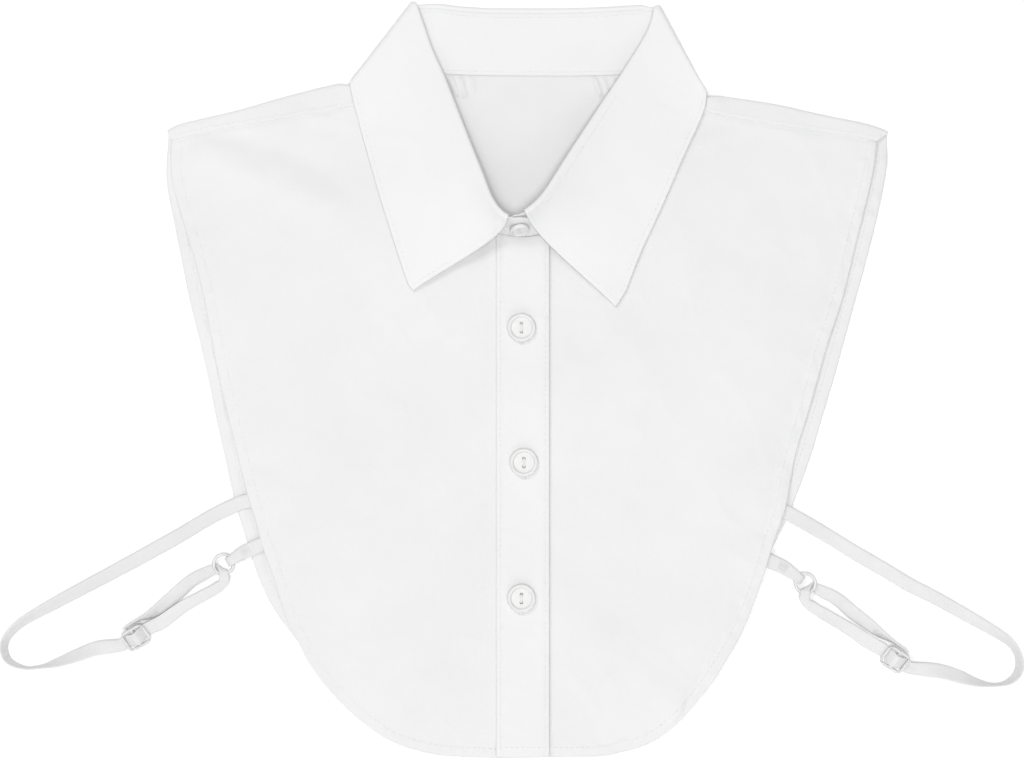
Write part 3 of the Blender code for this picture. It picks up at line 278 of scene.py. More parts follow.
# Swell of the fronts off the back, and the waves in it
SWELL = 1.2
SWELL_WAVE = 0.45
SWELL_CROSS = 0.3
SWELL_FROM_SIDE = 40.0
SWELL_LOW_Y = -183.0
SWELL_FROM_HEM = 34.0
SWELL_HIGH_Y = 128.0
SWELL_FROM_SEAM = 36.0
FOLD_FROM_SIDE = 12.0
HEM_DROP = 0.7
HEM_DROP_WIDTH = 6.0
# Back seen inside the neck: start and length of its slope up to the collar, and its half width
NECK_SLOPE_Y = 86.0
NECK_SLOPE = 62.0
NECK_SLOPE_HALF = 62.0

# Soft folds pressed up out of the front: x y to x y, height, width
SOFT_FOLDS = (
    (-157, 117, -94.5, 91, 1.1, 8), (139.5, 125, 104, 131, 0.7, 6),
    (-110.5, 133, -86, 127, 0.6, 4.5), (112, 125, 92, 118, 0.6, 4.5), (39.5, -130, 76, -160, 1, 9),
    (-44, -120, -70, -152, 0.8, 9), (-30, 55, -58, 8, 0.7, 10), (34, 48, 62, 0, 0.7, 10),
)
# Places where a tape passes between the back and the front: x y
TAPE_PASSES = (
    (-128, -58), (-124, -80), (127, -63.5), (118.5, -88),
)
TAPE_PASS_LIFT = 1.4
TAPE_PASS_REACH = 12.0

# Straps: x y z, lift of the width from level in degrees, width
LEFT_RUN = (
    (-121.3, -55.9, 1.9, 0, 6.8), (-135.3, -60.1, 1.9, 0, 6.8), (-141.3, -61.9, 1.8, 0, 6.8),
    (-153.8, -67.8, 0.7, 0, 6.8), (-172.8, -79, 0.6, -4, 6.8), (-192.3, -89.9, 1.2, -18, 6.8),
    (-211.7, -100.4, 1.8, -28, 6.8), (-230.9, -110.7, 2.4, -38, 6.8),
    (-247.2, -119.9, 3.1, -56, 6.8), (-255.3, -126.9, 3.4, -64, 6.8),
    (-258, -133.6, 3.45, -68, 6.8), (-255.2, -140.2, 3.5, -74, 6.8),
    (-247.3, -143.5, 3.5, -86, 6.8), (-240.3, -143.1, 3.5, -84, 6.8), (-231.1, -140.8, 3, -56, 6.8),
    (-221.9, -137.5, 2, -30, 6.8), (-212.3, -134.1, 1.4, -14, 6.8),
)
LEFT_LOWER = (
    (-179, -120.7, 1.4, 14, 6.8), (-168.8, -113.3, 1.9, 26, 6.4), (-159, -107.9, 2.2, 26, 5.8),
    (-152.5, -104.2, 3.2, 10, 5),
)
LEFT_UPPER = (
    (-164.5, -100.3, 1.4, 22, 6.4), (-172.9, -107.7, 1.6, 24, 6.8), (-180.2, -113.9, 2.4, 38, 6.8),
    (-185.9, -117.8, 3.1, 62, 6.8), (-190, -119.4, 3.5, 80, 6.8), (-194, -121.5, 3.5, 86, 6.8),
    (-198, -124, 3.5, 88, 6.8),
)
LEFT_TAB = (
    (-120.3, -77.9, 1.9, 0, 6.8), (-129.3, -82, 1.9, 0, 6.8), (-135.5, -84.7, 2.2, 0, 6.6),
    (-139.9, -86.8, 3.2, 0, 5.8),
)
RIGHT_RUN = (
    (117.3, -59.9, 1.9, 0, 6.8), (131.6, -65.7, 1.9, 0, 6.8), (138.5, -69.3, 1.7, 0, 6.8),
    (151.5, -76.8, 0.7, 0, 6.8), (165.7, -85.6, 0.6, 4, 6.8), (179.9, -93.9, 1, 14, 6.8),
    (193.9, -102.3, 1.4, 20, 6.8), (208.4, -109.8, 2, 30, 6.8), (222.6, -117.8, 2.4, 36, 6.8),
    (236.5, -125.9, 3, 50, 6.8), (244.4, -131.6, 3.4, 62, 6.8), (248.2, -138.1, 3.5, 70, 6.8),
    (248.2, -144.8, 3.5, 68, 6.8), (244, -150, 3.5, 76, 6.8), (236.8, -152, 3.5, 86, 6.8),
    (227.5, -150.8, 3.2, 62, 6.8), (218.2, -147.8, 2, 28, 6.8), (209, -145.3, 1.5, 16, 6.8),
)
RIGHT_LOWER = (
    (173.2, -130.6, 1.4, -14, 6.8), (166.2, -125.8, 1.9, -24, 6.6), (156.5, -119.9, 2.2, -26, 6.2),
    (146.9, -114.2, 3.2, -10, 5.2),
)
RIGHT_UPPER = (
    (157.4, -109.2, 1.4, -22, 6.4), (166.1, -116.6, 1.6, -24, 6.8), (174.3, -122.8, 2.4, -38, 6.8),
    (180.4, -127.4, 3.1, -62, 6.8), (185, -130.2, 3.5, -80, 6.8), (188.8, -132.7, 3.5, -86, 6.8),
    (192.8, -135.2, 3.5, -88, 6.8),
)
RIGHT_TAB = (
    (114.3, -85.9, 1.9, 0, 6.8), (123.3, -90, 1.9, 0, 6.8), (129.1, -92.5, 2.2, 0, 6.6),
    (132.9, -94.6, 3.2, 0, 6),
)
# Ring centre x y, directions out of it to the lower strand, the upper strand and the tab
LEFT_RING = (-148.5, -92.0, 0.05, -1.0, -0.9, -0.44, 0.883, 0.47)
RIGHT_RING = (142.0, -101.5, -0.05, -1.0, 0.9, -0.44, -0.79, 0.61)
# Slider centre x y, direction of the strap through it, side that is tilted up
LEFT_SLIDER = (-192.0, -128.5, 0.86, 0.51, 1.0)
RIGHT_SLIDER = (186.5, -139.5, -0.84, 0.54, -1.0)
# Way of the strap through the slider: distance along it, height off its middle plane
SLIDER_WEAVE = (
    (-8.8, -1.6), (-5.9, -1.7), (-4.9, -1.55), (-2.9, 0), (-0.95, 1.5), (0, 1.75), (0.95, 1.5),
    (2.9, 0), (4.9, -1.55), (5.9, -1.7), (8.8, -1.6),
)
# Way of a tape round the ring: distance from its centre, height, width
RING_OVER = ((8.3, 3.9, 5.0), (4.9, 4.0, 4.4), (3.5, 3.75, 4.3))
RING_HOLE = (2.2, 2.3, 4.2)
RING_UNDER = ((3.5, 0.85, 4.3), (4.9, 0.6, 4.4), (8.6, 0.6, 5.4))
# Last row of a tab, behind its own start
TAB_LAST = (10.5, 0.6, 6.0)


def smooth(value):
    """Ease from 0 to 1 while the value goes from 0 to 1."""
    held = np.clip(value, 0.0, 1.0)
    return held * held * (3.0 - 2.0 * held)


def hill(value, centre, width):
    """1 where the value is at the centre, falling to 0 within a few widths."""
    return np.exp(-(((value - centre) / width) ** 2))


def unit(vector):
    """The vector at length one."""
    vector = np.asarray(vector, float)
    return vector / np.linalg.norm(vector)


def at(rows, place):
    """Row of a table at a place between its rows, on a smooth curve through them."""
    rows = np.asarray(rows, float)
    last = len(rows) - 1
    place = min(max(place, 0.0), float(last))
    low = min(int(place), last - 1)
    t = place - low
    p1, p2 = rows[low], rows[low + 1]
    p0 = rows[low - 1] if low > 0 else 2.0 * p1 - p2
    p3 = rows[low + 2] if low + 2 <= last else 2.0 * p2 - p1
    return 0.5 * (2.0 * p1 + (p2 - p0) * t + (2.0 * p0 - 5.0 * p1 + 4.0 * p2 - p3) * t * t
                  + (3.0 * p1 - p0 - 3.0 * p2 + p3) * t ** 3)


def dense(rows, steps=8):
    """Smooth curve through the rows of a table, with every row kept."""
    count = (len(rows) - 1) * steps
    return np.array([at(rows, i / steps) for i in range(count + 1)])


def along(line, axes=2):
    """Distances along a line, in plan or in space."""
    line = np.asarray(line, float)[:, :axes]
    return np.concatenate([[0.0], np.cumsum(np.linalg.norm(np.diff(line, axis=0), axis=1))])


def picked(line, places, wanted):
    """Rows of a line at distances along it."""
    return np.stack([np.interp(wanted, places, column) for column in line.T], axis=1)


def spaced(line, steps):
    """Points along a line: a number of even steps, or shares of its length."""
    line = np.asarray(line, float)
    places = along(line)
    even = isinstance(steps, int)
    wanted = np.linspace(0.0, places[-1], steps + 1) if even else places[-1] * np.asarray(steps)
    return picked(line, places, wanted)


def left_of(line):
    """Directions to the left of a line at each of its points, in plan."""
    step = np.gradient(np.asarray(line, float)[:, :2], axis=0)
    step /= np.linalg.norm(step, axis=1)[:, None]
    return np.stack([-step[:, 1], step[:, 0]], axis=1)


def sideways(line, distance):
    """The line moved to its left by a distance."""
    moved = np.array(line, float)
    moved[:, :2] += left_of(line) * distance
    return moved


def distance_to(line, x, y):
    """Distance of points from a line of points."""
    points = np.stack([np.asarray(x, float), np.asarray(y, float)], axis=-1)
    best = np.full(points.shape[:-1], np.inf)
    for a, b in zip(line[:-1, :2], line[1:, :2]):
        edge = b - a
        t = np.clip(((points - a) @ edge) / max(edge @ edge, 1e-9), 0.0, 1.0)
        best = np.minimum(best, np.linalg.norm(points - a - t[..., None] * edge, axis=-1))
    return best


LAST = len(COLLAR_FRONT) - 1
HEM_LINE = np.concatenate([dense(LEFT_FRONT_HEM)[:, :2], dense(RIGHT_FRONT_HEM)[::-1]])


def collar_rise(x, y):
    """1 where the panels lie on the back of the leaf, 0 away from it."""
    up = smooth((y - LEAF_BED_Y) / LEAF_BED_SLOPE) * smooth((x - LEAF_BED_LEFT) / LEAF_BED_SIDE)
    return up * smooth((LEAF_BED_RIGHT - x) / LEAF_BED_SIDE)


def back_height(x, y):
    """Height of the middle of the back panel."""
    return BACK_Z + BACK_RISE * collar_rise(x, y)


def pressed(creases, x, y):
    """Height of listed creases."""
    height = np.zeros(np.shape(x))
    for x0, y0, x1, y1, rise, width in creases:
        away = distance_to(np.array([(x0, y0), (x1, y1)]), x, y)
        height = height + rise * hill(away, 0.0, width)
    return height


def front_height(x, y):
    """Height of the middle of the fronts, before the overlap at the centre."""
    x, y = np.asarray(x, float), np.asarray(y, float)
    centre_x, centre_y, half_x, half_y = NECK_OVAL
    ring = np.sqrt(((x - centre_x) / half_x) ** 2 + ((y - centre_y) / half_y) ** 2)
    near_neck = smooth((NECK_OVAL_END - ring) / (NECK_OVAL_END - 1.0))
    lifted = 1.0 - (1.0 - near_neck) * (1.0 - collar_rise(x, y))
    height = BACK_Z + BACK_TO_FRONT + BACK_RISE * lifted
    left = SIDE_LEFT_X + (SIDE_TOP_Y - y) * SIDE_LEFT_SLOPE
    right = SIDE_RIGHT_X - (SIDE_TOP_Y - y) * SIDE_RIGHT_SLOPE
    within = np.minimum(x - left, right - x)
    inside = smooth(within / SWELL_FROM_SIDE) * smooth((y - SWELL_LOW_Y) / SWELL_FROM_HEM)
    inside = inside * smooth((SWELL_HIGH_Y - y) / SWELL_FROM_SEAM)
    waves = SWELL_WAVE * np.sin(x / 24.0 + 0.6) * np.cos(y / 37.0 + 0.4)
    waves = waves + SWELL_CROSS * np.sin((x + y) / 31.0)
    height = height + inside * (SWELL + waves)
    height = height + smooth(within / FOLD_FROM_SIDE) * pressed(SOFT_FOLDS, x, y)
    for px, py in TAPE_PASSES:
        away = np.hypot(x - px, y - py) / TAPE_PASS_REACH
        height = height + TAPE_PASS_LIFT * np.exp(-(away ** 4))
    return height - HEM_DROP * (1.0 - smooth(distance_to(HEM_LINE, x, y) / HEM_DROP_WIDTH))


def over_height(x, y):
    """Height of the middle of the front that laps over."""
    return front_height(x, y) + LAYER_STEP * smooth((np.asarray(x) - OVER_BLEND_X) / OVER_BLEND)


def neckline(start, end, count, out):
    """Points of the front neck seam between two places, moved out onto the panels."""
    line = np.array([at(COLLAR_FRONT, s)[:2] for s in np.linspace(start, end, 8 * count + 1)])
    return spaced(sideways(line, -out if end > start else out), count)


def neck_place(x, low, high):
    """Place along the front of the collar where the neck seam has an x."""
    for _ in range(30):
        middle = 0.5 * (low + high)
        if at(COLLAR_FRONT, middle)[0] < x:
            low = middle
        else:
            high = middle
    return low


def placket_height(x, y):
    """Height of the middle of the placket."""
    return over_height(x, y) + LAYER_STEP


def collar_frame(place, shift):
    """Neck point, top point, way up the stand, way out of it and roll radius at a place."""
    row = at(COLLAR_FRONT, place)
    tangent = unit((at(COLLAR_FRONT, place + 0.1) - at(COLLAR_FRONT, place - 0.1))[2:5])
    height = over_height if shift > 0 else front_height
    neck = np.array([row[0], row[1], float(height(row[0], row[1]))])
    top = row[2:5].copy()
    straight = unit(top - neck)
    square = unit(straight - tangent * (straight @ tangent))
    crease = LEFT_CREASE if place < LAST / 2 else RIGHT_CREASE
    share = float(smooth(min(place, LAST - place) / CREASE_REACH))
    up = unit(np.array([-crease[2], -crease[3], 0.0]) * (1.0 - share) + square * share)
    out = unit(np.cross(tangent, up))
    if out[2] < 0:
        out = -out
    return neck + out * shift, top + out * shift, up, out, row[5]


def shift_at(place, side):
    """How far a side of the collar stands off the middle line where its ends overlap."""
    if side < 0:
        return OVERLAP_OFFSET * float(smooth((place - OVERLAP_LEFT) / OVERLAP_RUN))
    return -OVERLAP_OFFSET * float(smooth((OVERLAP_RIGHT - place) / OVERLAP_RUN))


def side_frame(place, side):
    """Collar frame of one side of the collar; side is -1 for left and 1 for right."""
    shift = shift_at(place, side)
    neck, top, up, out, roll = collar_frame(place, shift)
    row = at(COLLAR_FRONT, place)
    height = over_height if side < 0 else front_height
    neck[2] = float(height(row[0], row[1])) + out[2] * shift
    return neck, top, up, out, roll


def leaf_edge(place, side):
    """Outer edge of the leaf for a place along the collar."""
    if side < 0:
        rows, end, tip, near = LEFT_LEAF_EDGE, LEFT_LEAF_END, LEFT_POINT, place
    else:
        rows, end, tip, near = RIGHT_LEAF_EDGE, LAST - RIGHT_LEAF_END, RIGHT_POINT, LAST - place
    last = len(rows) - 1
    if near > last:
        share = (near - last) / (end - last)
        x, y = (1.0 - share) * np.array(rows[-1]) + share * np.array(tip)
    else:
        x, y = at(rows, near)
    return np.array([x, y, float(front_height(x, y)) + LEAF_ON_PANEL])


def strand(rows, side):
    """Rows of a strap with the heading of its width, to the left of its way times side."""
    rows = np.asarray(rows, float)
    step = np.gradient(rows[:, :2], axis=0)
    heading = np.degrees(np.arctan2(step[:, 1], step[:, 0])) + 90.0 * side
    return [(*row, turn) for row, turn in zip(rows, heading)]


def bearing(x, y):
    """Angle of a direction in degrees."""
    return math.degrees(math.atan2(y, x))


def slider_rows(slider):
    """Rows of the strap woven through a slider."""
    x, y, ax, ay, raised = slider
    ax, ay = np.array([ax, ay]) / math.hypot(ax, ay)
    tilt = math.radians(SLIDER_TILT) * raised
    rows = []
    for reach, off in SLIDER_WEAVE:
        lean = -off * math.sin(tilt)
        rows.append((x + ax * reach - ay * lean, y + ay * reach + ax * lean,
                     SLIDER_Z + off * math.cos(tilt), math.degrees(tilt), STRAP_WIDTH,
                     bearing(-ay, ax)))
    return rows


def out_of_ring(ring, way, path, turn):
    """Rows of a tape at distances from a ring's centre along a way."""
    return [(ring[0] + way[0] * reach, ring[1] + way[1] * reach, z, 0.0, width, turn)
            for reach, z, width in path]


def ring_rows(ring):
    """Rows of the strap over the ring, through it and out beneath it."""
    over, under = unit(ring[2:4]), unit(ring[4:6])
    over_turn = bearing(over[1], -over[0])
    under_turn = bearing(under[1], -under[0])
    under_turn = over_turn + (under_turn - over_turn + 180.0) % 360.0 - 180.0
    return (out_of_ring(ring, over, RING_OVER, over_turn)
            + out_of_ring(ring, unit(over + under), (RING_HOLE,), 0.5 * (over_turn + under_turn))
            + out_of_ring(ring, under, RING_UNDER, under_turn))


def tab_rows(ring):
    """Rows of the tab over the ring, through it and back beneath itself."""
    way = unit(ring[6:8])
    path = RING_OVER[1:] + (RING_HOLE,) + RING_UNDER + (TAB_LAST,)
    return out_of_ring(ring, way, path, bearing(way[1], -way[0]))


def placed(centre, x_way, z_way):
    """Placing of a part with its own x and z along two directions."""
    z_way = unit(z_way)
    x_way = unit(np.asarray(x_way, float) - z_way * (np.asarray(x_way, float) @ z_way))
    y_way = np.cross(z_way, x_way)
    matrix = Matrix.Identity(4)
    for k in range(3):
        matrix[k][0], matrix[k][1], matrix[k][2] = x_way[k], y_way[k], z_way[k]
        matrix[k][3] = centre[k] * MM
    return matrix


# Visual cloth: half of one ply, hem and stitches
PLY = 0.26
HEM_WIDTH = 5.6
HEM_STITCH = 4.7
HEM_PLY = 0.34
GROOVE = 0.12
GROOVE_WIDTH = 0.55
SEWN_GAP = 0.1
SETTLE = 0.45
STITCH_LENGTH = 2.1
STITCH_PITCH = 2.75
THREAD = 0.16
PLACKET_PRESS = 0.9
PLACKET_SIDE_PRESS = 0.5
PLACKET_RISE = 0.9
TUCK_ROWS = (2.8, 1.6, 0.6)
TUCK_DROP = 0.34
TUCK_SINK = 0.12
TUCK_SLOPE = 2.4
EDGE_STEPS = 9
EDGE_STEP = 0.75
CELL = 1.55
RIM_THIN = 0.72
ROW_WIDTH = 0.6
HEM_PUFF = 0.14
# Unevenness of the hems, the placket and the stand: height, size of the spots, seed
HEM_RIPPLES = ((0.3, 6.4, 0), (0.46, 3.3, 5))
PLACKET_PUCKERS = ((0.18, 5.0, 77), (0.1, 2.6, 78))
STAND_WAVES = ((0.22, 26.0, 91), (0.1, 9.0, 92))
TAPE_CELL = 0.27
# Steps of the back's neck edge and of its flaps, and where its rows grow wider
BACK_NECK_STEPS = 170
FLAP_ROWS = 14
FLAP_DEPTH = 11.0
FLAP_RUMPLE = 0.45
FOLD_STEPS = 12
BACK_FINE = 13.5
BACK_SEEN = 76.0
BACK_SEEN_CELL = 1.5
BACK_COVERED_CELL = 3.6
# Stitches beside an edge, and those of the stand from its foot and from its top
EDGE_STITCH = 1.9
STAND_STITCHES = (1.7, 2.2)
# Middle of the neck, and where the hem of the back's sides ends below the shoulders
NECK_X = 3.0
SHOULDER_Y = 118.0
PLACKET_LOW_Y = -187.6
PLACKET_HIGH_Y = 70.0
PLACKET_FOOT_Y = -187.0
PLACKET_ROWS = 250
PLACKET_COLUMNS = 36
# Buttonhole round each button: half width, top and length of its sides, stitches, bar ends
HOLE_HALF = 0.75
HOLE_TOP = 6.4
HOLE_LENGTH = 14.6
HOLE_STITCHES = 40
HOLE_BARS = (-8.4, 6.6)
HOLE_THREAD = 0.19
# A stitch: share of its length, height off the cloth, share of the thread's radius
STITCH_SHAPE = ((0.0, -0.12, 0.35), (0.16, 0.045, 0.9), (0.5, 0.12, 1.0), (0.84, 0.045, 0.9),
                (1.0, -0.12, 0.35))
# A short stitch: height off the cloth, share of the thread's radius
SATIN_SHAPE = ((-0.05, 0.5), (0.16, 1.0), (-0.05, 0.5))
# Where a row of stitches breaks off: a jump, and the cosine of a turn
ROW_JUMP = 1.9
ROW_BEND = 0.6

# Finer creases pressed into the fronts: x y to x y, height, width
FRONT_CREASES = (
    (-160, 110, -128, 98, 0.25, 3.5), (-156, 109, -98, 84, 1.7, 9), (-150, 125, -98, 107, -0.9, 7),
    (-128, 104, -92, 96, -0.25, 5), (-112, 88, -88, 84, 0.22, 4.5), (-105, 128, -86, 122, -0.3, 3),
    (-96, 119, -84, 127, 0.3, 2.2), (94, 128, 112, 131, -0.25, 2.6),
    (98, 133.5, 116, 130, 0.25, 2.2), (120, 128, 150, 121, 0.22, 3), (140, 100, 150, 84, 0.2, 4),
    (-70, 62, -40, 40, -0.22, 5), (-38, 40, -14, 58, 0.25, 4), (-30, 30, -16, 22, 0.2, 3),
    (-24, -6, -14, -12, 0.22, 2.4), (-28, -70, -13, -62, 0.2, 3), (-26, -128, -13, -136, 0.22, 3),
    (-60, -20, -38, -60, 0.22, 8), (-110, 10, -92, -30, 0.2, 9), (-120, 50, -104, 20, -0.2, 9),
    (-98, -96, -72, -128, 0.28, 6), (-84, -140, -52, -168, 0.3, 4.5),
    (-40, -150, -22, -176, 0.28, 4), (30, -150, 44, -178, 0.28, 3.5),
    (44, -140, 70, -166, -0.25, 4), (56, -128, 84, -150, 0.3, 3.2), (18, 20, 30, 8, 0.18, 4),
    (70, -10, 92, -62, 0.22, 9), (104, -84, 90, -110, 0.25, 5), (112, -90, 100, -84, 0.35, 2.4),
    (116, -78, 98, -66, 0.25, 4), (-116, -84, -98, -76, 0.3, 3), (-118, -64, -100, -54, 0.22, 4),
    (120, 60, 132, 20, 0.18, 8),
)
# Creases of the placket: x y to x y, height, width
PLACKET_CREASES = (
    (-11, 35, -3, 31, 0.14, 1.6), (4, 32, 13, 30, 0.3, 1.5), (-10, 8, 2, 0, 0.16, 2.2),
    (-11, -8, 6, -14, 0.18, 2), (-9, -24, -2, -30, 0.2, 1.8), (2, -56, 12, -60, 0.15, 2),
    (-11, -74, 4, -82, 0.16, 2.4), (-8, -124, 10, -130, 0.16, 2.2), (-11, -150, 8, -158, 0.18, 2.6),
    (-6, -172, 9, -176, 0.14, 2),
)
# Gathers where the back meets the stand: x y to x y, height, width
GATHERS = (
    (-35.5, 152.5, -32, 143, 1.5, 1.3), (-31, 152.5, -28, 142, 1.35, 1.2),
    (-25, 152.2, -24, 145, 0.8, 1.1), (36, 152.2, 39.5, 143, 1.45, 1.3),
    (40.5, 152.2, 43.5, 142, 0.95, 1.2), (45, 152.4, 47.5, 144, 1.3, 1.2),
    (49.5, 152.6, 51.5, 146, 1, 1.2),
)
# Creases of the back inside the neck: x y to x y, height, width
BACK_CREASES = (
    (-20, 146, -6, 92, 0.25, 9), (30, 148, 12, 96, 0.25, 9), (5, 140, 3, 104, 0.2, 6),
    (-150, 80, -60, -60, 0.3, 16), (130, 80, 60, -70, 0.3, 16), (-60, -100, 10, -150, 0.3, 12),
)


def noise(x, y, size, seed):
    """Smooth noise from -1 to 1 with spots of a size, the same on each run."""
    u, v = np.asarray(x, float) / size, np.asarray(y, float) / size
    i, j = np.floor(u).astype(np.int64), np.floor(v).astype(np.int64)
    f, g = u - i, v - j

    def corner(a, b):
        h = (a * 73856093) ^ (b * 19349663) ^ np.int64(seed * 83492791)
        h = ((h ^ (h >> 13)) * 1274126177) & 0x7FFFFFFF
        h = ((h ^ (h >> 11)) * 668265263) & 0x7FFFFFFF
        return (h & 0xFFFF) / 32767.5 - 1.0

    f, g = f * f * (3 - 2 * f), g * g * (3 - 2 * g)
    low = corner(i, j) * (1 - f) + corner(i + 1, j) * f
    high = corner(i, j + 1) * (1 - f) + corner(i + 1, j + 1) * f
    return low * (1 - g) + high * g


def noises(x, y, rows, seed=0):
    """Sum of the noises in a table."""
    return sum(height * noise(x, y, size, seed + own) for height, size, own in rows)


def rumple(x, y, seed):
    """Slack of pressed cotton: broad, with finer soft ridges."""
    broad = 0.5 * noise(x, y, 34.0, seed) + 0.32 * noise(x + 0.4 * y, y, 15.0, seed + 1)
    ridge = 1.0 - np.abs(noise(x + 0.5 * y, y - 0.3 * x, 19.0, seed + 2))
    return 0.34 * broad + 0.2 * ridge ** 4 + 0.06 * noise(x, y, 6.5, seed + 3)


def steps_to(length, fine=EDGE_STEPS, both=False, cell=CELL):
    """Shares of a length with closer steps at its start, or at both ends."""
    edge = [EDGE_STEP * k for k in range(fine + 1)]
    tail = [length - d for d in edge[::-1]] if both else [length]
    inside = tail[0] - edge[-1]
    count = max(2, int(round(inside / cell)))
    middle = [edge[-1] + inside * k / count for k in range(1, count)]
    return np.array(edge + middle + tail) / length


def length_of(line):
    """Length of a line in plan."""
    return float(np.linalg.norm(np.diff(np.asarray(line)[:, :2], axis=0), axis=1).sum())


def coons(top, bottom, left, right):
    """Points inside four joined edges, whose steps keep the edges' own shares."""
    u = along(top) / along(top)[-1]
    v = along(left) / along(left)[-1]
    top, bottom = np.asarray(top)[:, :2], np.asarray(bottom)[:, :2]
    left, right = np.asarray(left)[:, :2], np.asarray(right)[:, :2]
    u, v = u[None, :, None], v[:, None, None]
    across = (1 - v) * top[None] + v * bottom[None]
    down = (1 - u) * left[:, None] + u * right[:, None]
    corners = ((1 - u) * (1 - v) * top[0] + u * (1 - v) * top[-1]
               + (1 - u) * v * bottom[0] + u * v * bottom[-1])
    return across + down - corners


def joined(grids):
    """Points shared by the grids, how far the faces lie off each, and its quads."""
    ids, points, ups, downs, faces = {}, [], [], [], []
    for grid, up, down in grids:
        shape = np.shape(grid)[:2]
        up, down = np.broadcast_to(up, shape), np.broadcast_to(down, shape)
        index = np.zeros(shape, int)
        for place, key in zip(np.ndindex(shape), map(tuple, np.round(grid, 3).reshape(-1, 3))):
            if key not in ids:
                ids[key] = len(points)
                points.append(grid[place])
                ups.append(up[place])
                downs.append(down[place])
            index[place] = ids[key]
        quads = np.stack([index[:-1, :-1], index[1:, :-1], index[1:, 1:], index[:-1, 1:]], axis=-1)
        faces.append(quads.reshape(-1, 4))
    faces = np.concatenate(faces)
    faces = faces[[len(set(face)) == 4 for face in faces.tolist()]]
    return np.array(points), np.array(ups), np.array(downs), faces


def scaled(vectors):
    """Vectors brought to length one, where they have any."""
    return vectors / np.maximum(np.linalg.norm(vectors, axis=1), 1e-12)[:, None]


def rim_of(faces):
    """Edges that only one quad has, in order."""
    edges = np.concatenate([faces[:, [k, (k + 1) % 4]] for k in range(4)])
    forward = {(int(a), int(b)) for a, b in edges}
    rim = np.array([(a, b) for a, b in forward if (b, a) not in forward])
    return rim[np.lexsort((rim[:, 1], rim[:, 0]))]


def shell(name, grids, material, nodes, bulge=0.5):
    """Closed cloth: each grid comes with how far its upper and its lower face lie off it."""
    points, ups, downs, faces = joined(grids)
    p = points[faces]
    cross = np.cross(p[:, 2] - p[:, 0], p[:, 3] - p[:, 1])
    normals = np.zeros_like(points)
    for k in range(4):
        np.add.at(normals, faces[:, k], cross)
    normals = scaled(normals)
    rim = rim_of(faces)
    out = np.zeros_like(points)
    way = scaled(points[rim[:, 1]] - points[rim[:, 0]])
    for k in range(2):
        np.add.at(out, rim[:, k], np.cross(way, normals[rim[:, k]]))
    on_rim = np.unique(rim)
    out[on_rim] = scaled(out[on_rim])
    thick = ups + downs
    ups[on_rim] *= RIM_THIN
    downs[on_rim] *= RIM_THIN
    top = points + normals * ups[:, None]
    low = points - normals * downs[:, None]
    middle = points + out * (0.5 * bulge * thick)[:, None]
    middle = middle + normals * (0.5 * (ups - downs))[:, None]
    n = len(points)
    rim_id = np.zeros(n, int)
    rim_id[on_rim] = 2 * n + np.arange(len(on_rim))
    mids = rim_id[rim]
    polygons = np.concatenate([
        faces, faces[:, ::-1] + n,
        np.stack([rim[:, 1], rim[:, 0], mids[:, 0], mids[:, 1]], axis=1),
        np.stack([mids[:, 1], mids[:, 0], rim[:, 0] + n, rim[:, 1] + n], axis=1),
    ])
    verts = np.concatenate([top, low, middle[on_rim]])
    return piece(name, verts, polygons.tolist(), material, nodes)


def dressed(name, mesh, material, nodes):
    """Smooth piece from a mesh, that rides on the body and stands for its nodes."""
    mesh.polygons.foreach_set("use_smooth", [True] * len(mesh.polygons))
    mesh.materials.clear()
    mesh.materials.append(material)
    mesh.update()
    obj = bpy.data.objects.new(name, mesh)
    bpy.context.scene.collection.objects.link(obj)
    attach(obj, "root")
    if nodes:
        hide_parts(*nodes)
    return obj


def piece(name, verts, polygons, material, nodes=()):
    """Smooth piece from points in millimetres and faces."""
    mesh = bpy.data.meshes.new(name)
    mesh.from_pydata((np.asarray(verts, float) * MM).tolist(), [], polygons)
    mesh.validate()
    return dressed(name, mesh, material, nodes)


def weld(mesh):
    """Joins doubled points, drops faces without area and turns the rest outwards."""
    form = bmesh.new()
    form.from_mesh(mesh)
    bmesh.ops.remove_doubles(form, verts=form.verts, dist=WELD)
    bmesh.ops.dissolve_degenerate(form, edges=form.edges, dist=WELD)
    bmesh.ops.recalc_face_normals(form, faces=form.faces)
    form.to_mesh(mesh)
    form.free()


def tree_of(obj):
    """Search tree of a piece, in millimetres."""
    verts = [v.co / MM for v in obj.data.vertices]
    return BVHTree.FromPolygons(verts, [tuple(p.vertices) for p in obj.data.polygons])


def on_top(tree, x, y):
    """Highest point of a piece over x y, with its normal."""
    hit, normal = tree.ray_cast(Vector((x, y, 60.0)), Vector((0.0, 0.0, -1.0)))[:2]
    return None if hit is None else (np.array(hit), np.array(normal))


def nearest(tree, point, out):
    """Nearest point of a piece to a point a little outside it, with its normal."""
    hit, normal = tree.find_nearest(Vector(point + out * 1.2))[:2]
    return None if hit is None else (np.array(hit), np.array(normal))


def unbroken(row):
    """Parts of a row of surface points that run on without a jump or a fold."""
    parts, part = [], [row[0]]
    for before, found in zip(row[:-1], row[1:]):
        jump = np.linalg.norm(found[0] - before[0]) > ROW_JUMP
        if jump or found[1] @ before[1] < ROW_BEND:
            parts.append(part)
            part = []
        part.append(found)
    return [part for part in parts + [part] if len(part) > 3]


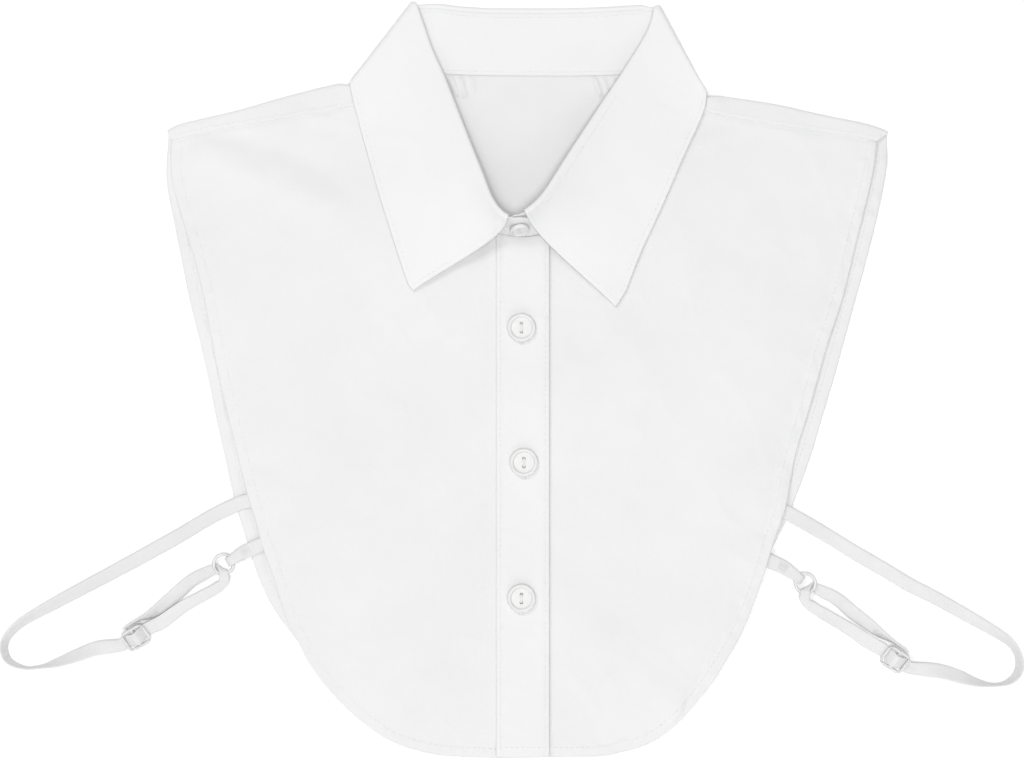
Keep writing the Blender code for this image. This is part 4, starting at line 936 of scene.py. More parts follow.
def add_tube(verts, faces, rings, sides=5):
    """Closed tube through rings: each a centre, two directions across the tube and a radius."""
    base = len(verts)
    for centre, a, b, radius in rings:
        for k in range(sides):
            turn = TURN * k / sides
            verts.append(centre + (a * math.cos(turn) + b * math.sin(turn)) * radius)
    last = len(verts) - sides
    for first in range(base, last, sides):
        for k in range(sides):
            c, d = first + k, first + (k + 1) % sides
            faces.append((c, d, d + sides, c + sides))
    faces.append(tuple(range(base, base + sides))[::-1])
    faces.append(tuple(range(last, last + sides)))


def sewn(name, rows):
    """Stitches along lines of surface points and normals, one closed thread each."""
    verts, faces = [], []
    gap = STITCH_PITCH - STITCH_LENGTH
    for row in [part for row in rows for part in unbroken(row)]:
        points, normals = (np.array(part) for part in zip(*row))
        places = along(points, 3)
        for s in range(max(int((places[-1] - STITCH_LENGTH) / STITCH_PITCH) + 1, 0)):
            start = s * STITCH_PITCH + 0.3 * gap
            wanted = [start + share * STITCH_LENGTH for share, lift, size in STITCH_SHAPE]
            line, ups = picked(points, places, wanted), picked(normals, places, wanted)
            way = unit(line[-1] - line[0])
            rings = []
            for (share, lift, size), point, up in zip(STITCH_SHAPE, line, ups):
                up = unit(up)
                rings.append((point + up * lift, unit(np.cross(up, way)), up, THREAD * size))
            add_tube(verts, faces, rings)
    return piece(name, verts, faces, THREAD_LOOK)


def satin(name, rows, thread):
    """Close short stitches, one per row of three surface points."""
    verts, faces = [], []
    for row in rows:
        up = row[0][1]
        side = unit(np.cross(up, unit(row[2][0] - row[0][0])))
        add_tube(verts, faces, [(point + up * lift, side, up, thread * size)
                                for (point, _), (lift, size) in zip(row, SATIN_SHAPE)])
    return piece(name, verts, faces, THREAD_LOOK)


def laid_row(tree, line, step=0.9):
    """Points of a plan line dropped onto a piece, split where the piece ends."""
    line = np.asarray(line, float)
    rows = [[]]
    for x, y in spaced(line[:, :2], max(2, int(length_of(line) / step))):
        found = on_top(tree, x, y)
        if found is None:
            rows.append([])
        else:
            rows[-1].append(found)
    return [row for row in rows if len(row) > 3]


def moved_in(line, distance, inward):
    """Line moved to one side and cleaned where it folds on itself."""
    moved = sideways(line, distance * inward)
    keep = distance_to(np.asarray(line, float), moved[:, 0], moved[:, 1]) > abs(distance) * 0.97
    return moved[keep]


# Materials


def node_material(name, colour, roughness):
    """Material with its shader, and its node tree for the pattern."""
    material = bpy.data.materials.new(name)
    material.use_nodes = True
    nodes, links = material.node_tree.nodes, material.node_tree.links
    shader = nodes["Principled BSDF"]
    shader.inputs["Base Color"].default_value = (*colour, 1.0)
    shader.inputs["Roughness"].default_value = roughness
    return material, nodes, links, shader


def feed(node, **values):
    """Sets constant values on a node's own sockets, with a space for each low line."""
    for name, value in values.items():
        node.inputs[name.replace("_", " ")].default_value = value


def cloud(nodes, links, place, **values):
    """Noise at a place, with constant values on its sockets."""
    node = nodes.new("ShaderNodeTexNoise")
    feed(node, **values)
    links.new(place, node.inputs["Vector"])
    return node.outputs["Fac"]


def add_bump(nodes, links, shader, height, strength, distance):
    """Bump of the shader from a height."""
    bump = nodes.new("ShaderNodeBump")
    feed(bump, Strength=strength, Distance=distance)
    links.new(height, bump.inputs["Height"])
    links.new(bump.outputs["Normal"], shader.inputs["Normal"])


def add_tone(nodes, links, shader, share, stops):
    """Base colour of the shader between two stops of position and colour."""
    ramp = nodes.new("ShaderNodeValToRGB")
    for element, (position, colour) in zip(ramp.color_ramp.elements, stops):
        element.position, element.color = position, (*colour, 1.0)
    links.new(share, ramp.inputs["Fac"])
    links.new(ramp.outputs["Color"], shader.inputs["Base Color"])


def woven(name, colour, low, pitch, strength, rough):
    """Cotton or elastic: crossing threads in the bump, slubs and uneven tone in the colour."""
    material, nodes, links, shader = node_material(name, colour, rough)
    place = nodes.new("ShaderNodeTexCoord").outputs["Object"]
    split = nodes.new("ShaderNodeSeparateXYZ")
    links.new(place, split.inputs[0])

    def maths(operation, *values):
        node = nodes.new("ShaderNodeMath")
        node.operation = operation
        for socket, value in zip(node.inputs, values):
            if isinstance(value, float):
                socket.default_value = value
            else:
                links.new(value, socket)
        return node.outputs[0]

    turn = TURN / (pitch * MM)
    warp, weft = (maths("SINE", maths("MULTIPLY", split.outputs[k], turn)) for k in range(2))
    slub = cloud(nodes, links, place, Scale=900.0, Detail=3.0)
    mottle = cloud(nodes, links, place, Scale=15.0, Detail=5.0, Roughness=0.62)
    height = maths("ADD", maths("MULTIPLY", warp, weft), maths("MULTIPLY", slub, 1.6))
    add_bump(nodes, links, shader, height, strength, 0.00006)
    tone = maths("ADD", maths("MULTIPLY", mottle, 0.82), maths("MULTIPLY", slub, 0.18))
    add_tone(nodes, links, shader, tone, ((0.32, low), (0.62, colour)))
    feed(shader, Sheen_Weight=0.12, Sheen_Roughness=0.5, Specular_IOR_Level=0.25)
    return material


def plastic(name, colour, roughness, transmission, ior, scale):
    """Clear or pearly plastic with faint flow marks."""
    material, nodes, links, shader = node_material(name, colour, roughness)
    place = nodes.new("ShaderNodeTexCoord").outputs["Object"]
    flow = cloud(nodes, links, place, Scale=scale, Detail=4.0, Distortion=1.2)
    low = tuple(c * 0.93 for c in colour)
    add_tone(nodes, links, shader, flow, ((0.35, low), (0.65, colour)))
    add_bump(nodes, links, shader, flow, 0.12, 0.00008)
    feed(shader, Transmission_Weight=transmission, IOR=ior)
    return material


COTTON_LOOK = woven("cotton_poplin", (0.775, 0.775, 0.78), (0.74, 0.74, 0.745), 0.42, 0.35, 0.9)
COLLAR_LOOK = woven("cotton_collar", (0.796, 0.796, 0.80), (0.77, 0.77, 0.774), 0.42, 0.3, 0.88)
PLACKET_LOOK = woven("cotton_placket", (0.782, 0.782, 0.787), (0.755, 0.755, 0.76), 0.42, 0.3, 0.88)
THREAD_LOOK = woven("sewing_thread", (0.84, 0.84, 0.84), (0.78, 0.78, 0.78), 0.3, 0.5, 0.8)
ELASTIC_LOOK = woven("elastic_braid", (0.765, 0.765, 0.765), (0.70, 0.70, 0.70), 0.55, 0.6, 0.8)
CLEAR_LOOK = plastic("clear_plastic", (0.90, 0.905, 0.91), 0.24, 0.34, 1.46, 260.0)
PEARL_LOOK = plastic("pearl_plastic", (0.785, 0.785, 0.78), 0.5, 0.05, 1.42, 190.0)


# Panels


def outline_of(*lines):
    """One line through several tables, in order."""
    return np.concatenate([dense(line)[:, :2] for line in lines])


LEFT_OUTLINE = outline_of(LEFT_FRONT_SIDE, LEFT_FRONT_HEM)
RIGHT_OUTLINE = outline_of(RIGHT_FRONT_SIDE, RIGHT_FRONT_HEM)
BACK_OUTLINE = np.concatenate([outline_of(LEFT_BACK_SIDE, BACK_HEM),
                               outline_of(RIGHT_BACK_SIDE)[::-1]])


def hem_faces(away, x, y, seed):
    """Extra ply of a turned hem and the groove of its stitches, by distance from the edge."""
    turn = 1.0 - smooth((away - HEM_WIDTH + 0.4) / 0.9)
    puff = HEM_PUFF * hill(away, 2.4, 1.6) * (1.0 + noise(x, y, 4.5, seed))
    return HEM_PLY * turn + puff, GROOVE * hill(away, HEM_STITCH, GROOVE_WIDTH)


def hem_ripple(away, x, y, seed):
    """Uneven puckers along a stitched edge."""
    return hill(away, 3.6, 4.2) * noises(x, y, HEM_RIPPLES, seed)


def front_detail(x, y, away, seed):
    """Creases, slack and puckers of a front, flat under the placket."""
    inside = smooth(away / 9.0) * smooth(np.maximum(PLACKET_LEFT_X - x, x - PLACKET_RIGHT_X) / 7.0)
    calm = 1.0 - 0.75 * smooth((y - 66.0) / 20.0) * smooth((86.0 - np.abs(x - NECK_X)) / 12.0)
    low = pressed(FRONT_CREASES, x, y) + 1.25 * rumple(x, y, seed)
    return inside * calm * low + hem_ripple(away, x, y, seed + 9)


def settle(x, y, away):
    """How far the edges of a front lie down onto the back, clear of the tapes."""
    clear = 1.0
    for px, py in TAPE_PASSES:
        clear = clear * smooth(np.hypot(x - px, y - py) / TAPE_PASS_REACH - 0.55)
    hem = 0.35 * smooth((-140.0 - y) / 25.0)
    return (SETTLE + hem) * (1.0 - smooth(away / 14.0)) * clear * smooth((112.0 - y) / 16.0)


def front_piece(name, seam, start, end, side, hem, outline, height, seed):
    """One front: hemmed side and bottom, plain centre edge, tucked under its shoulder seam."""
    out = 1.0 if seam is LEFT_SEAM else -1.0
    seam_line = sideways(dense(seam), -SEWN_GAP * out)
    top_seam = spaced(seam_line, steps_to(length_of(seam_line)))
    neck_count = int(length_of(neckline(start, end, 40, NECK_GAP / 2)) / CELL)
    neck = neckline(start, end, neck_count, NECK_GAP / 2)
    top = np.concatenate([top_seam[:, :2], neck[1:, :2]])
    bottom = spaced(dense(hem), along(top) / along(top)[-1])[:, :2]
    outer_line = dense(((*top[0],),) + side[1:])[:, :2]
    rows = steps_to(length_of(outer_line), both=True)
    outer = spaced(outer_line, rows)
    centre = top[-1] + (bottom[-1] - top[-1]) * rows[:, None]
    flat = coons(top, bottom, outer, centre)
    x, y = flat[..., 0], flat[..., 1]
    away = distance_to(outline, x, y)
    from_seam = distance_to(top_seam, x, y)
    z = height(x, y) + front_detail(x, y, away, seed) * smooth(from_seam / 7.0)
    z = z - settle(x, y, away) - TUCK_DROP * (1.0 - smooth(from_seam / TUCK_SLOPE))
    extra, groove = hem_faces(away, x, y, seed)
    grid = np.concatenate([flat, z[..., None]], axis=-1)
    grid = np.concatenate([tucks(grid[0], top_seam, out), grid])
    plain = np.zeros((len(TUCK_ROWS), grid.shape[1]))
    up = PLY - np.concatenate([plain, groove])
    down = PLY + 0.8 * np.concatenate([plain, extra])
    cloth = shell(name + "_cloth", [(grid, up, down)], COTTON_LOOK, [name])
    line = moved_in(outline, HEM_STITCH, out)
    return cloth, laid_row(tree_of(cloth), line)


def tucks(edge, top_seam, out):
    """Rows that carry a front on beneath its shoulder seam."""
    from_tip = along(top_seam)
    count = len(top_seam)
    share = smooth(from_tip / 6.0) * smooth((from_tip[-1] - from_tip) / 3.0)
    rows = []
    for reach in TUCK_ROWS:
        row = edge.copy()
        moved = sideways(top_seam[:, :2], reach * out)
        row[:count, :2] = row[:count, :2] * (1.0 - share[:, None]) + moved * share[:, None]
        row[:count, 2] -= TUCK_SINK * share * smooth(reach / 0.6)
        rows.append(row)
    return np.array(rows)


def make_fronts():
    """Both fronts and their stitches."""
    over, over_rows = front_piece(
        "front_over", LEFT_SEAM, LEFT_SEAM_PLACE + 0.05, neck_place(OVER_EDGE_X, 8.0, 11.0),
        LEFT_FRONT_SIDE, LEFT_FRONT_HEM, LEFT_OUTLINE, over_height, 11)
    under, under_rows = front_piece(
        "front_under", RIGHT_SEAM, RIGHT_SEAM_PLACE - 0.05, neck_place(UNDER_EDGE_X, 7.0, 10.0),
        RIGHT_FRONT_SIDE, RIGHT_FRONT_HEM, RIGHT_OUTLINE, front_height, 23)
    sewn("stitches_over", over_rows)
    sewn("stitches_under", under_rows)
    return over, under


def back_detail(x, y, away, seed):
    """Creases, slack and puckers of the back, flat where it rests."""
    hem = np.maximum(1.3 * hem_ripple(away, x, y, seed + 9), 0.0) * smooth((6.5 - away) / 3.0)
    hem = hem * smooth((SHOULDER_Y - y) / 10.0)
    seen = smooth((y - 60.0) / 40.0) * smooth((72.0 - np.abs(x - NECK_X)) / 14.0)
    low = 0.35 * np.maximum(rumple(x, y, seed), -0.1) + pressed(BACK_CREASES, x, y)
    gathers = pressed(GATHERS, x, y) * smooth((153.5 - y) / 2.0)
    within = smooth((NECK_SLOPE_HALF - np.abs(x - NECK_OVAL[0])) / 10.0)
    slope = smooth((y - NECK_SLOPE_Y) / NECK_SLOPE) - smooth((y - LEAF_BED_Y) / LEAF_BED_SLOPE)
    low = smooth(away / 9.0) * low * (0.35 + 0.65 * seen)
    return low + gathers + BACK_RISE * within * slope + hem


def back_steps(length):
    """Shares down the back: close at its top and hem, wider where the fronts cover it."""
    top = np.arange(0.0, BACK_FINE, EDGE_STEP)
    neck = np.arange(BACK_FINE, BACK_SEEN, BACK_SEEN_CELL)
    hem = length - EDGE_STEP * np.arange(EDGE_STEPS, -1, -1)
    count = int((hem[0] - BACK_SEEN) / BACK_COVERED_CELL) + 1
    middle = BACK_SEEN + (hem[0] - BACK_SEEN) * np.arange(count) / count
    return np.concatenate([top, neck, middle, hem]) / length


def make_back():
    """Back panel with its hem, carried over the shoulders to the seams on the front."""
    shoulder = steps_to(length_of(dense(LEFT_SHOULDER)), 7)
    left = fine_fold(LEFT_SHOULDER, shoulder, 1.0)
    right = fine_fold(RIGHT_SHOULDER, shoulder, -1.0)
    neck_rows = [left[0][-1, :2]] + [row[:2] for row in COLLAR_BACK] + [right[0][-1, :2]]
    neck = dense(np.array(neck_rows))
    neck[1:-1] = sideways(neck, -NECK_GAP)[1:-1]
    neck = spaced(neck, BACK_NECK_STEPS)
    top = np.concatenate([left[0][:, :2], neck[1:-1], right[0][::-1, :2]])
    bottom = spaced(dense(BACK_HEM), along(top) / along(top)[-1])
    sides = [dense(((*rings[0][0, :2],),) + side[1:])
             for rings, side in ((left, LEFT_BACK_SIDE), (right, RIGHT_BACK_SIDE))]
    rows = back_steps(length_of(sides[0]))
    flat = coons(top, bottom, spaced(sides[0], rows), spaced(sides[1], rows))
    x, y = flat[..., 0], flat[..., 1]
    away = distance_to(BACK_OUTLINE, x, y)
    z = np.maximum(back_height(x, y) + back_detail(x, y, away, 41), BACK_Z - 0.1)
    z[0] = back_height(x[0], y[0])
    extra, groove = hem_faces(away, x, y, 43)
    extra = extra * smooth((SHOULDER_Y - y) / 10.0)
    fold_z = smooth(np.arange(len(z)) / 3.0)[:, None]
    z = back_height(x, y) * (1 - fold_z) + z * fold_z
    low = np.concatenate([flat, z[..., None]], axis=-1)
    grids = [(low, PLY + 0.9 * extra - groove, PLY)]
    columns = len(shoulder)
    for rings, seam_rows, start, end in ((left, LEFT_SEAM, 0.0, LEFT_SEAM_PLACE),
                                         (right, RIGHT_SEAM, float(LAST), RIGHT_SEAM_PLACE)):
        flap = back_flap(rings[-1], seam_rows, start, end, shoulder)
        wing = np.array(rings + flap)
        if rings is left:
            wing[0] = low[0, :columns]
            wing = wing[:, ::-1]
        else:
            wing[0] = low[0, ::-1][:columns]
        grids.append((wing, PLY, PLY))
    obj = shell("back_panel_cloth", grids, COTTON_LOOK, ["back_panel"])
    tree = tree_of(obj)
    rows = laid_row(tree, moved_in(BACK_OUTLINE, HEM_STITCH, 1.0))
    for seam_rows, inward in ((LEFT_SEAM, 1.0), (RIGHT_SEAM, -1.0)):
        rows += laid_row(tree, sideways(dense(seam_rows), EDGE_STITCH * inward)[2:-2])
    sewn("stitches_back", rows)
    return obj


def back_flap(ring, seam_rows, start, end, shoulder):
    """Rows from the top of a shoulder fold down to its seam on the front."""
    lean = np.array(shoulder)[:, None] ** 8
    seam = spaced(dense(seam_rows), shoulder)[:, :2]
    neck_edge = neckline(start, end, FLAP_ROWS, NECK_GAP / 2)
    flap = []
    for row in range(1, FLAP_ROWS + 1):
        share = row / FLAP_ROWS
        plan = (1.0 - share) * ring[:, :2] + share * seam
        plan = plan + lean * (neck_edge[row] - plan[-1])
        x, y = plan[:, 0], plan[:, 1]
        ridge = FLAP_RUMPLE * np.minimum(rumple(x, y, 61), 0.3)
        ridge = ridge * smooth(share * 3.0) * smooth((1 - share) * 4.0)
        groove = GROOVE * hill((1.0 - share) * FLAP_DEPTH, EDGE_STITCH, 0.7)
        z = front_height(x, y) + ridge - 0.6 * groove
        flap.append(np.concatenate([plan, z[:, None]], axis=1))
    return flap


def fine_fold(line, shares, outward):
    """Rings round a shoulder fold, from the lower layer to the upper."""
    points = spaced(dense(line), shares)[:, :2]
    normal = left_of(points) * outward
    axis = points - normal * (FOLD_RADIUS + CLOTH / 2)
    low = back_height(axis[:, 0], axis[:, 1])
    rings = []
    for k in range(FOLD_STEPS + 1):
        turn = math.pi * k / FOLD_STEPS
        flat = axis + normal * (FOLD_RADIUS + 0.2) * math.sin(turn)
        z = low + FOLD_RADIUS * (1.0 - math.cos(turn))
        rings.append(np.concatenate([flat, z[:, None]], axis=1))
    return rings


def placket_top(x, y, edge):
    """Middle of the placket with its creases and puckered edges."""
    pucker = hill(edge, 2.6, 1.6) * noises(x, y, PLACKET_PUCKERS)
    lows = pressed(PLACKET_CREASES, x, y) * smooth(edge / 1.5)
    onto = PLACKET_PRESS * (1.0 - smooth((x - PLACKET_LEFT_X) / 5.0))
    onto = onto + PLACKET_SIDE_PRESS * (1.0 - smooth((PLACKET_RIGHT_X - x) / 3.5))
    slack = 0.5 * rumple(x, y, 79) * smooth(edge / 4.0)
    return placket_height(x, y) + pucker + lows + slack - onto


def crossing(tree, x, y, dx, dy):
    """Three surface points of a short stitch over a place."""
    a, b = on_top(tree, x - dx, y - dy), on_top(tree, x + dx, y + dy)
    return [a, ((a[0] + b[0]) / 2, a[1]), b]


def make_placket():
    """Folded strip down the centre, stitched along both sides, with its buttonholes."""
    line = np.array([at(COLLAR_FRONT, s)[:2] for s in np.linspace(7.0, 11.0, 60)])
    hem = dense(LEFT_FRONT_HEM)
    x = (PLACKET_RIGHT_X - PLACKET_LEFT_X) * np.arange(PLACKET_COLUMNS + 1) / PLACKET_COLUMNS
    x = PLACKET_LEFT_X + x
    hem_y = np.interp(x, hem[:, 0], hem[:, 1])
    top = np.interp(x, line[:, 0], line[:, 1]) - PLACKET_BELOW_NECK + PLACKET_RISE
    y = np.linspace(top, hem_y + PLACKET_ABOVE_HEM, PLACKET_ROWS + 1)
    x = np.broadcast_to(x, y.shape)
    edge = np.minimum(np.abs(x - PLACKET_LEFT_X), np.abs(x - PLACKET_RIGHT_X))
    groove = GROOVE * hill(edge, EDGE_STITCH, ROW_WIDTH)
    groove = groove + GROOVE * hill(y - hem_y, HEM_STITCH, ROW_WIDTH)
    grid = np.stack([x, y, placket_top(x, y, edge)], axis=-1)
    obj = shell("placket_cloth", [(grid, PLY + 0.12 - groove, PLY + 0.1)], PLACKET_LOOK,
                ["placket"], 0.8)
    tree = tree_of(obj)
    left, right = PLACKET_LEFT_X + EDGE_STITCH, PLACKET_RIGHT_X - EDGE_STITCH
    across = PLACKET_LOW_Y + HEM_STITCH
    rows = []
    for line in ([(left, PLACKET_HIGH_Y), (left, PLACKET_FOOT_Y)],
                 [(right, PLACKET_HIGH_Y), (right, PLACKET_FOOT_Y)],
                 [(PLACKET_LEFT_X + 1.0, across), (PLACKET_RIGHT_X - 1.0, across)]):
        rows += laid_row(tree, line)
    sewn("stitches_placket", rows)
    buttonholes(tree)
    return obj


def buttonholes(tree):
    """Worked buttonholes under the buttons: two sides of short stitches and a bar at each end."""
    holes = []
    for x, y in BUTTONS:
        for side in (-HOLE_HALF, HOLE_HALF):
            for k in range(HOLE_STITCHES):
                reach = 0.5 if 1 < k < HOLE_STITCHES - 2 else 0.2
                down = HOLE_LENGTH * k / (HOLE_STITCHES - 1)
                holes.append(crossing(tree, x + side, y + HOLE_TOP - down, reach, 0.0))
        for end in HOLE_BARS:
            for k in range(5):
                holes.append(crossing(tree, x - 1.2 + 0.6 * k, y + end, 0.0, 0.5))
    satin("buttonholes", holes, HOLE_THREAD)


# Collar


def stand_top(place, neck, top, low_end, high_end):
    """Top of the stand, rounded down at its end."""
    share = smooth((abs(place - low_end)) / abs(high_end - low_end))
    return neck + (top - neck) * (0.66 + 0.34 * math.sqrt(max(float(share), 0.0)))


# Outer corners of the leaf at its side creases, and the places their edges run straight to
LEFT_CORNER = (-85.0, 146.9)
RIGHT_CORNER = (92.2, 142.9)
CORNER_RUN = 1.2
# Steps of the stand and the leaf: along each side, how near a side crease, and across
STAND_STEPS = 170
STAND_NEAR = 0.3
STAND_POINTS = 23
STAND_SEWN_FROM = 6.0
LEAF_STEPS = 168
LEAF_NEAR = 0.15
ROLL_POINTS = 12


def leaf_side(place, side):
    """Outer edge of the leaf, straight from its corner at the crease."""
    near = place if side < 0 else LAST - place
    if near >= CORNER_RUN:
        return leaf_edge(place, side)
    corner = LEFT_CORNER if side < 0 else RIGHT_CORNER
    far = leaf_edge(CORNER_RUN if side < 0 else LAST - CORNER_RUN, side)
    share = near / CORNER_RUN
    return np.array([*(np.array(corner) * (1.0 - share) + far[:2] * share), far[2]])


def fine_rings(crease, corner, steps=12):
    """Frames round a side crease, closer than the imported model's."""
    start = np.array([crease[0], crease[1], CREASE_Z])
    way = np.array([crease[2], crease[3], 0.0])
    side = np.array([crease[4], crease[5], 0.0])
    frames = []
    tip = start + way * crease[6] + side * (3.0 * STAND_RADIUS)
    for k in range(steps + 1):
        turn = math.pi * k / steps
        out = side * math.sin(turn) - UP * math.cos(turn)
        edge = start + way * crease[6] + out * (3.0 * STAND_RADIUS)
        if 2 * k > steps:
            share = 2.0 * k / steps - 1.0
            edge[:2] = (1.0 - share) * tip[:2] + share * np.array(corner)
        neck, top = (start + way * reach + out * STAND_RADIUS
                     for reach in (CREASE_TO_NECK, CREASE_TO_TOP))
        frames.append((neck, top, -way, out, STAND_RADIUS, edge))
    return frames


def fine_back(steps=12):
    """Frames along the back of the collar."""
    frames = []
    for row in dense(COLLAR_BACK, steps):
        neck, top = np.array([*row[:2], STAND_BACK_Z]), np.array([*row[2:4], STAND_BACK_Z])
        edge = np.array([*row[4:], LEAF_BACK_Z])
        frames.append((neck, top, unit(top - neck), -UP, 1.0, edge))
    return frames


BACK_OF_COLLAR = (fine_rings(LEFT_CREASE, LEFT_CORNER)[::-1] + fine_back()
                  + fine_rings(RIGHT_CREASE, RIGHT_CORNER))


def round_collar(left, right, count):
    """Places, sides and frames from the left end, round the back, to the right end."""
    for places, side in ((np.linspace(*left, count), -1), ((), 0), (np.linspace(*right, count), 1)):
        if side == 0:
            yield from ((0.0, 0, *frame) for frame in BACK_OF_COLLAR)
        for place in places:
            yield place, side, *side_frame(place, side), leaf_side(place, side)


def make_stand():
    """Collar stand with its rows of stitches."""
    grid, ways = [], []
    shares = np.linspace(0.0, 1.0, STAND_POINTS)
    ends = (OVER_END, STAND_NEAR), (LAST - STAND_NEAR, UNDER_END)
    for place, side, neck, top, up, out, _, _ in round_collar(*ends, STAND_STEPS):
        if side < 0 and place > OVER_ROUNDS:
            top = stand_top(place, neck, top, OVER_END, OVER_ROUNDS)
        if side > 0 and place < UNDER_ROUNDS:
            top = stand_top(place, neck, top, UNDER_END, UNDER_ROUNDS)
        foot = 0.12 - HALF_SEAM * math.hypot(up[0], up[1]) + 0.5 * CLOTH * abs(up[2])
        base = neck + unit(top - neck) * foot
        grid.append(base + (top - base) * shares[:, None])
        ways.append(out)
    grid, ways = np.array(grid), np.array(ways)
    x, y = grid[..., 0], grid[..., 1]
    wave = noises(x, y, STAND_WAVES) * np.sin(np.pi * shares)[None, :]
    grid = grid + ways[:, None, :] * wave[..., None]
    height = np.linalg.norm(grid[:, -1] - grid[:, 0], axis=1)
    away = shares[None, :] * height[:, None]
    low, high = STAND_STITCHES
    rows = hill(away, low, ROW_WIDTH) + hill(height[:, None] - away, high, ROW_WIDTH)
    groove = 0.5 * GROOVE * rows
    thick = PLY + 0.1 - groove
    obj = shell("collar_stand_cloth", [(grid, thick, thick)], COLLAR_LOOK,
                ["collar_stand"], 0.8)
    sewn("stitches_stand", stand_rows(tree_of(obj), grid, ways, height))
    return obj


def stand_rows(tree, grid, ways, height):
    """Rows of stitches along the foot, the top and the ends of the stand, on both faces."""
    low, high = STAND_STITCHES
    rows = []
    for side in (-1.0, 1.0):
        for distance, from_top in ((low, False), (high, True)):
            row = []
            for line, out, tall in zip(grid, ways, height):
                if tall >= STAND_SEWN_FROM:
                    share = 1.0 - distance / tall if from_top else distance / tall
                    row.append(nearest(tree, line[0] + (line[-1] - line[0]) * share, out * side))
            rows.append(row)
    for end in (2, len(grid) - 3):
        for side in (-1.0, 1.0):
            rows.append([nearest(tree, p, ways[end] * side) for p in grid[end][2:-2]])
    return rows


def leaf_points(top, up, out, radius, edge, draped):
    """Points of the leaf from the top of the stand over its roll and down its fall."""
    centre = top + up * ROLL_LIFT + out * radius
    points = [top + up * ROLL_START]
    for k in range(ROLL_POINTS - 1):
        turn = math.pi * k / (ROLL_POINTS - 2)
        points.append(centre + up * radius * math.sin(turn) - out * radius * math.cos(turn))
    start = points[-1]
    t = FALL_SHARES[:, None]
    if not draped:
        return np.concatenate([points, start + (edge - start) * t])
    first = start - up * 0.3 * np.linalg.norm(edge - start)
    second = edge + (start - edge) * 0.3
    second[2] = edge[2] + 0.5 * (second[2] - edge[2])
    s = 1.0 - t
    fall = s ** 3 * start + 3 * s * s * t * first + 3 * s * t * t * second + t ** 3 * edge
    return np.concatenate([points, fall])


# Shares down the fall of the leaf, closer together towards its edge
FALL_POINTS = 38
FALL_SHARES = 1.0 - (1.0 - np.arange(1, FALL_POINTS + 1) / FALL_POINTS) ** 1.25


def from_outer(grid):
    """Distance of each point from the end of its own row."""
    run = np.linalg.norm(np.diff(grid, axis=1), axis=2)
    run = np.cumsum(run[:, ::-1], axis=1)[:, ::-1]
    return np.concatenate([run, np.zeros((len(grid), 1))], axis=1)


def make_leaf():
    """Collar leaf of two plies with an edge seam and its row of stitches."""
    lines, draped, near, places = [], [], [], []
    ends = (LEFT_LEAF_END, LEAF_NEAR), (LAST - LEAF_NEAR, RIGHT_LEAF_END)
    for place, side, _, *frame in round_collar(*ends, LEAF_STEPS):
        lines.append(leaf_points(*frame, side != 0))
        draped.append(side != 0)
        near.append(float(smooth((place if side < 0 else LAST - place) / 1.3)))
        places.append(place if side > 0 else 0.0)
    grid, draped, near, places = (np.array(part) for part in (lines, draped, near, places))
    fall = grid[draped][:, ROLL_POINTS:]
    fall[..., 2] = settled(fall, near[draped][:, None])
    grid[np.where(draped)[0], ROLL_POINTS:] = fall
    away_end = np.minimum(distance_to(grid[0], grid[..., 0], grid[..., 1]),
                          distance_to(grid[-1], grid[..., 0], grid[..., 1]))
    middle = len(grid) // 2
    by_end = np.abs(np.arange(len(grid)) - middle) > middle * LEAF_END_SHARE
    away = np.minimum(from_outer(grid), np.where(by_end[:, None], away_end, 99.0))
    seam = 1.0 - smooth((away - LEAF_SEAM) / LEAF_SEAM_RUN)
    groove = LEAF_GROOVE * hill(away, LEAF_STITCH, GROOVE_WIDTH)
    lip = LEAF_LIP * hill(away, 0.8, 0.7)
    ripple = LEAF_RIPPLE * noise(grid[..., 0], grid[..., 1], 4.2, 103) * hill(away, 2.0, 2.4)
    run = np.linalg.norm(np.diff(grid, axis=1), axis=2)
    from_roll = np.cumsum(np.concatenate([np.zeros((len(grid), 1)), run], axis=1), axis=1)
    from_roll = from_roll - from_roll[:, ROLL_TOP:ROLL_TOP + 1]
    beside = smooth((places - ROLL_GROOVE_FROM) / 0.6) * smooth((ROLL_GROOVE_TO - places) / 2.0)
    groove = groove + ROLL_GROOVE * hill(from_roll, ROLL_STITCH, 0.5) * beside[:, None]
    thick = (PLY + 0.12 + LEAF_SEAM_HEIGHT * seam + lip + ripple - groove)[:, ::-1]
    obj = shell("collar_leaf_cloth", [(grid[:, ::-1], thick, thick)], COLLAR_LOOK,
                ["collar_leaf"], 0.9)
    sewn("stitches_leaf", leaf_rows(tree_of(obj), grid, places, from_roll))
    return obj


def settled(fall, near):
    """Heights of the fall laid on the fronts, and straight down where it nears a side crease."""
    x, y = fall[..., 0], fall[..., 1]
    onto = LEAF_PRESS * (1.0 - smooth(from_outer(fall) / LEAF_PRESS_REACH))
    floor = front_height(x, y) + LEAF_ON_PANEL - onto
    gap = fall[..., 2] - floor
    soft = 0.30 * noise(x, y, 30.0, 101) + 0.12 * noise(x + 0.5 * y, y, 11.0, 102)
    soft = soft + pressed(LEAF_CREASES, x, y)
    laid = floor + 0.5 * (gap + np.sqrt(gap * gap + LEAF_SETTLE)) + LEAF_OVER
    share = np.linspace(0.0, 1.0, fall.shape[1])[None, :]
    laid = laid + np.maximum(soft, -LEAF_OVER) * smooth(share * 3.0)
    straight = fall[:, :1, 2] + (LEAF_CREASE_Z - fall[:, :1, 2]) * share
    return laid * near + straight * (1.0 - near)


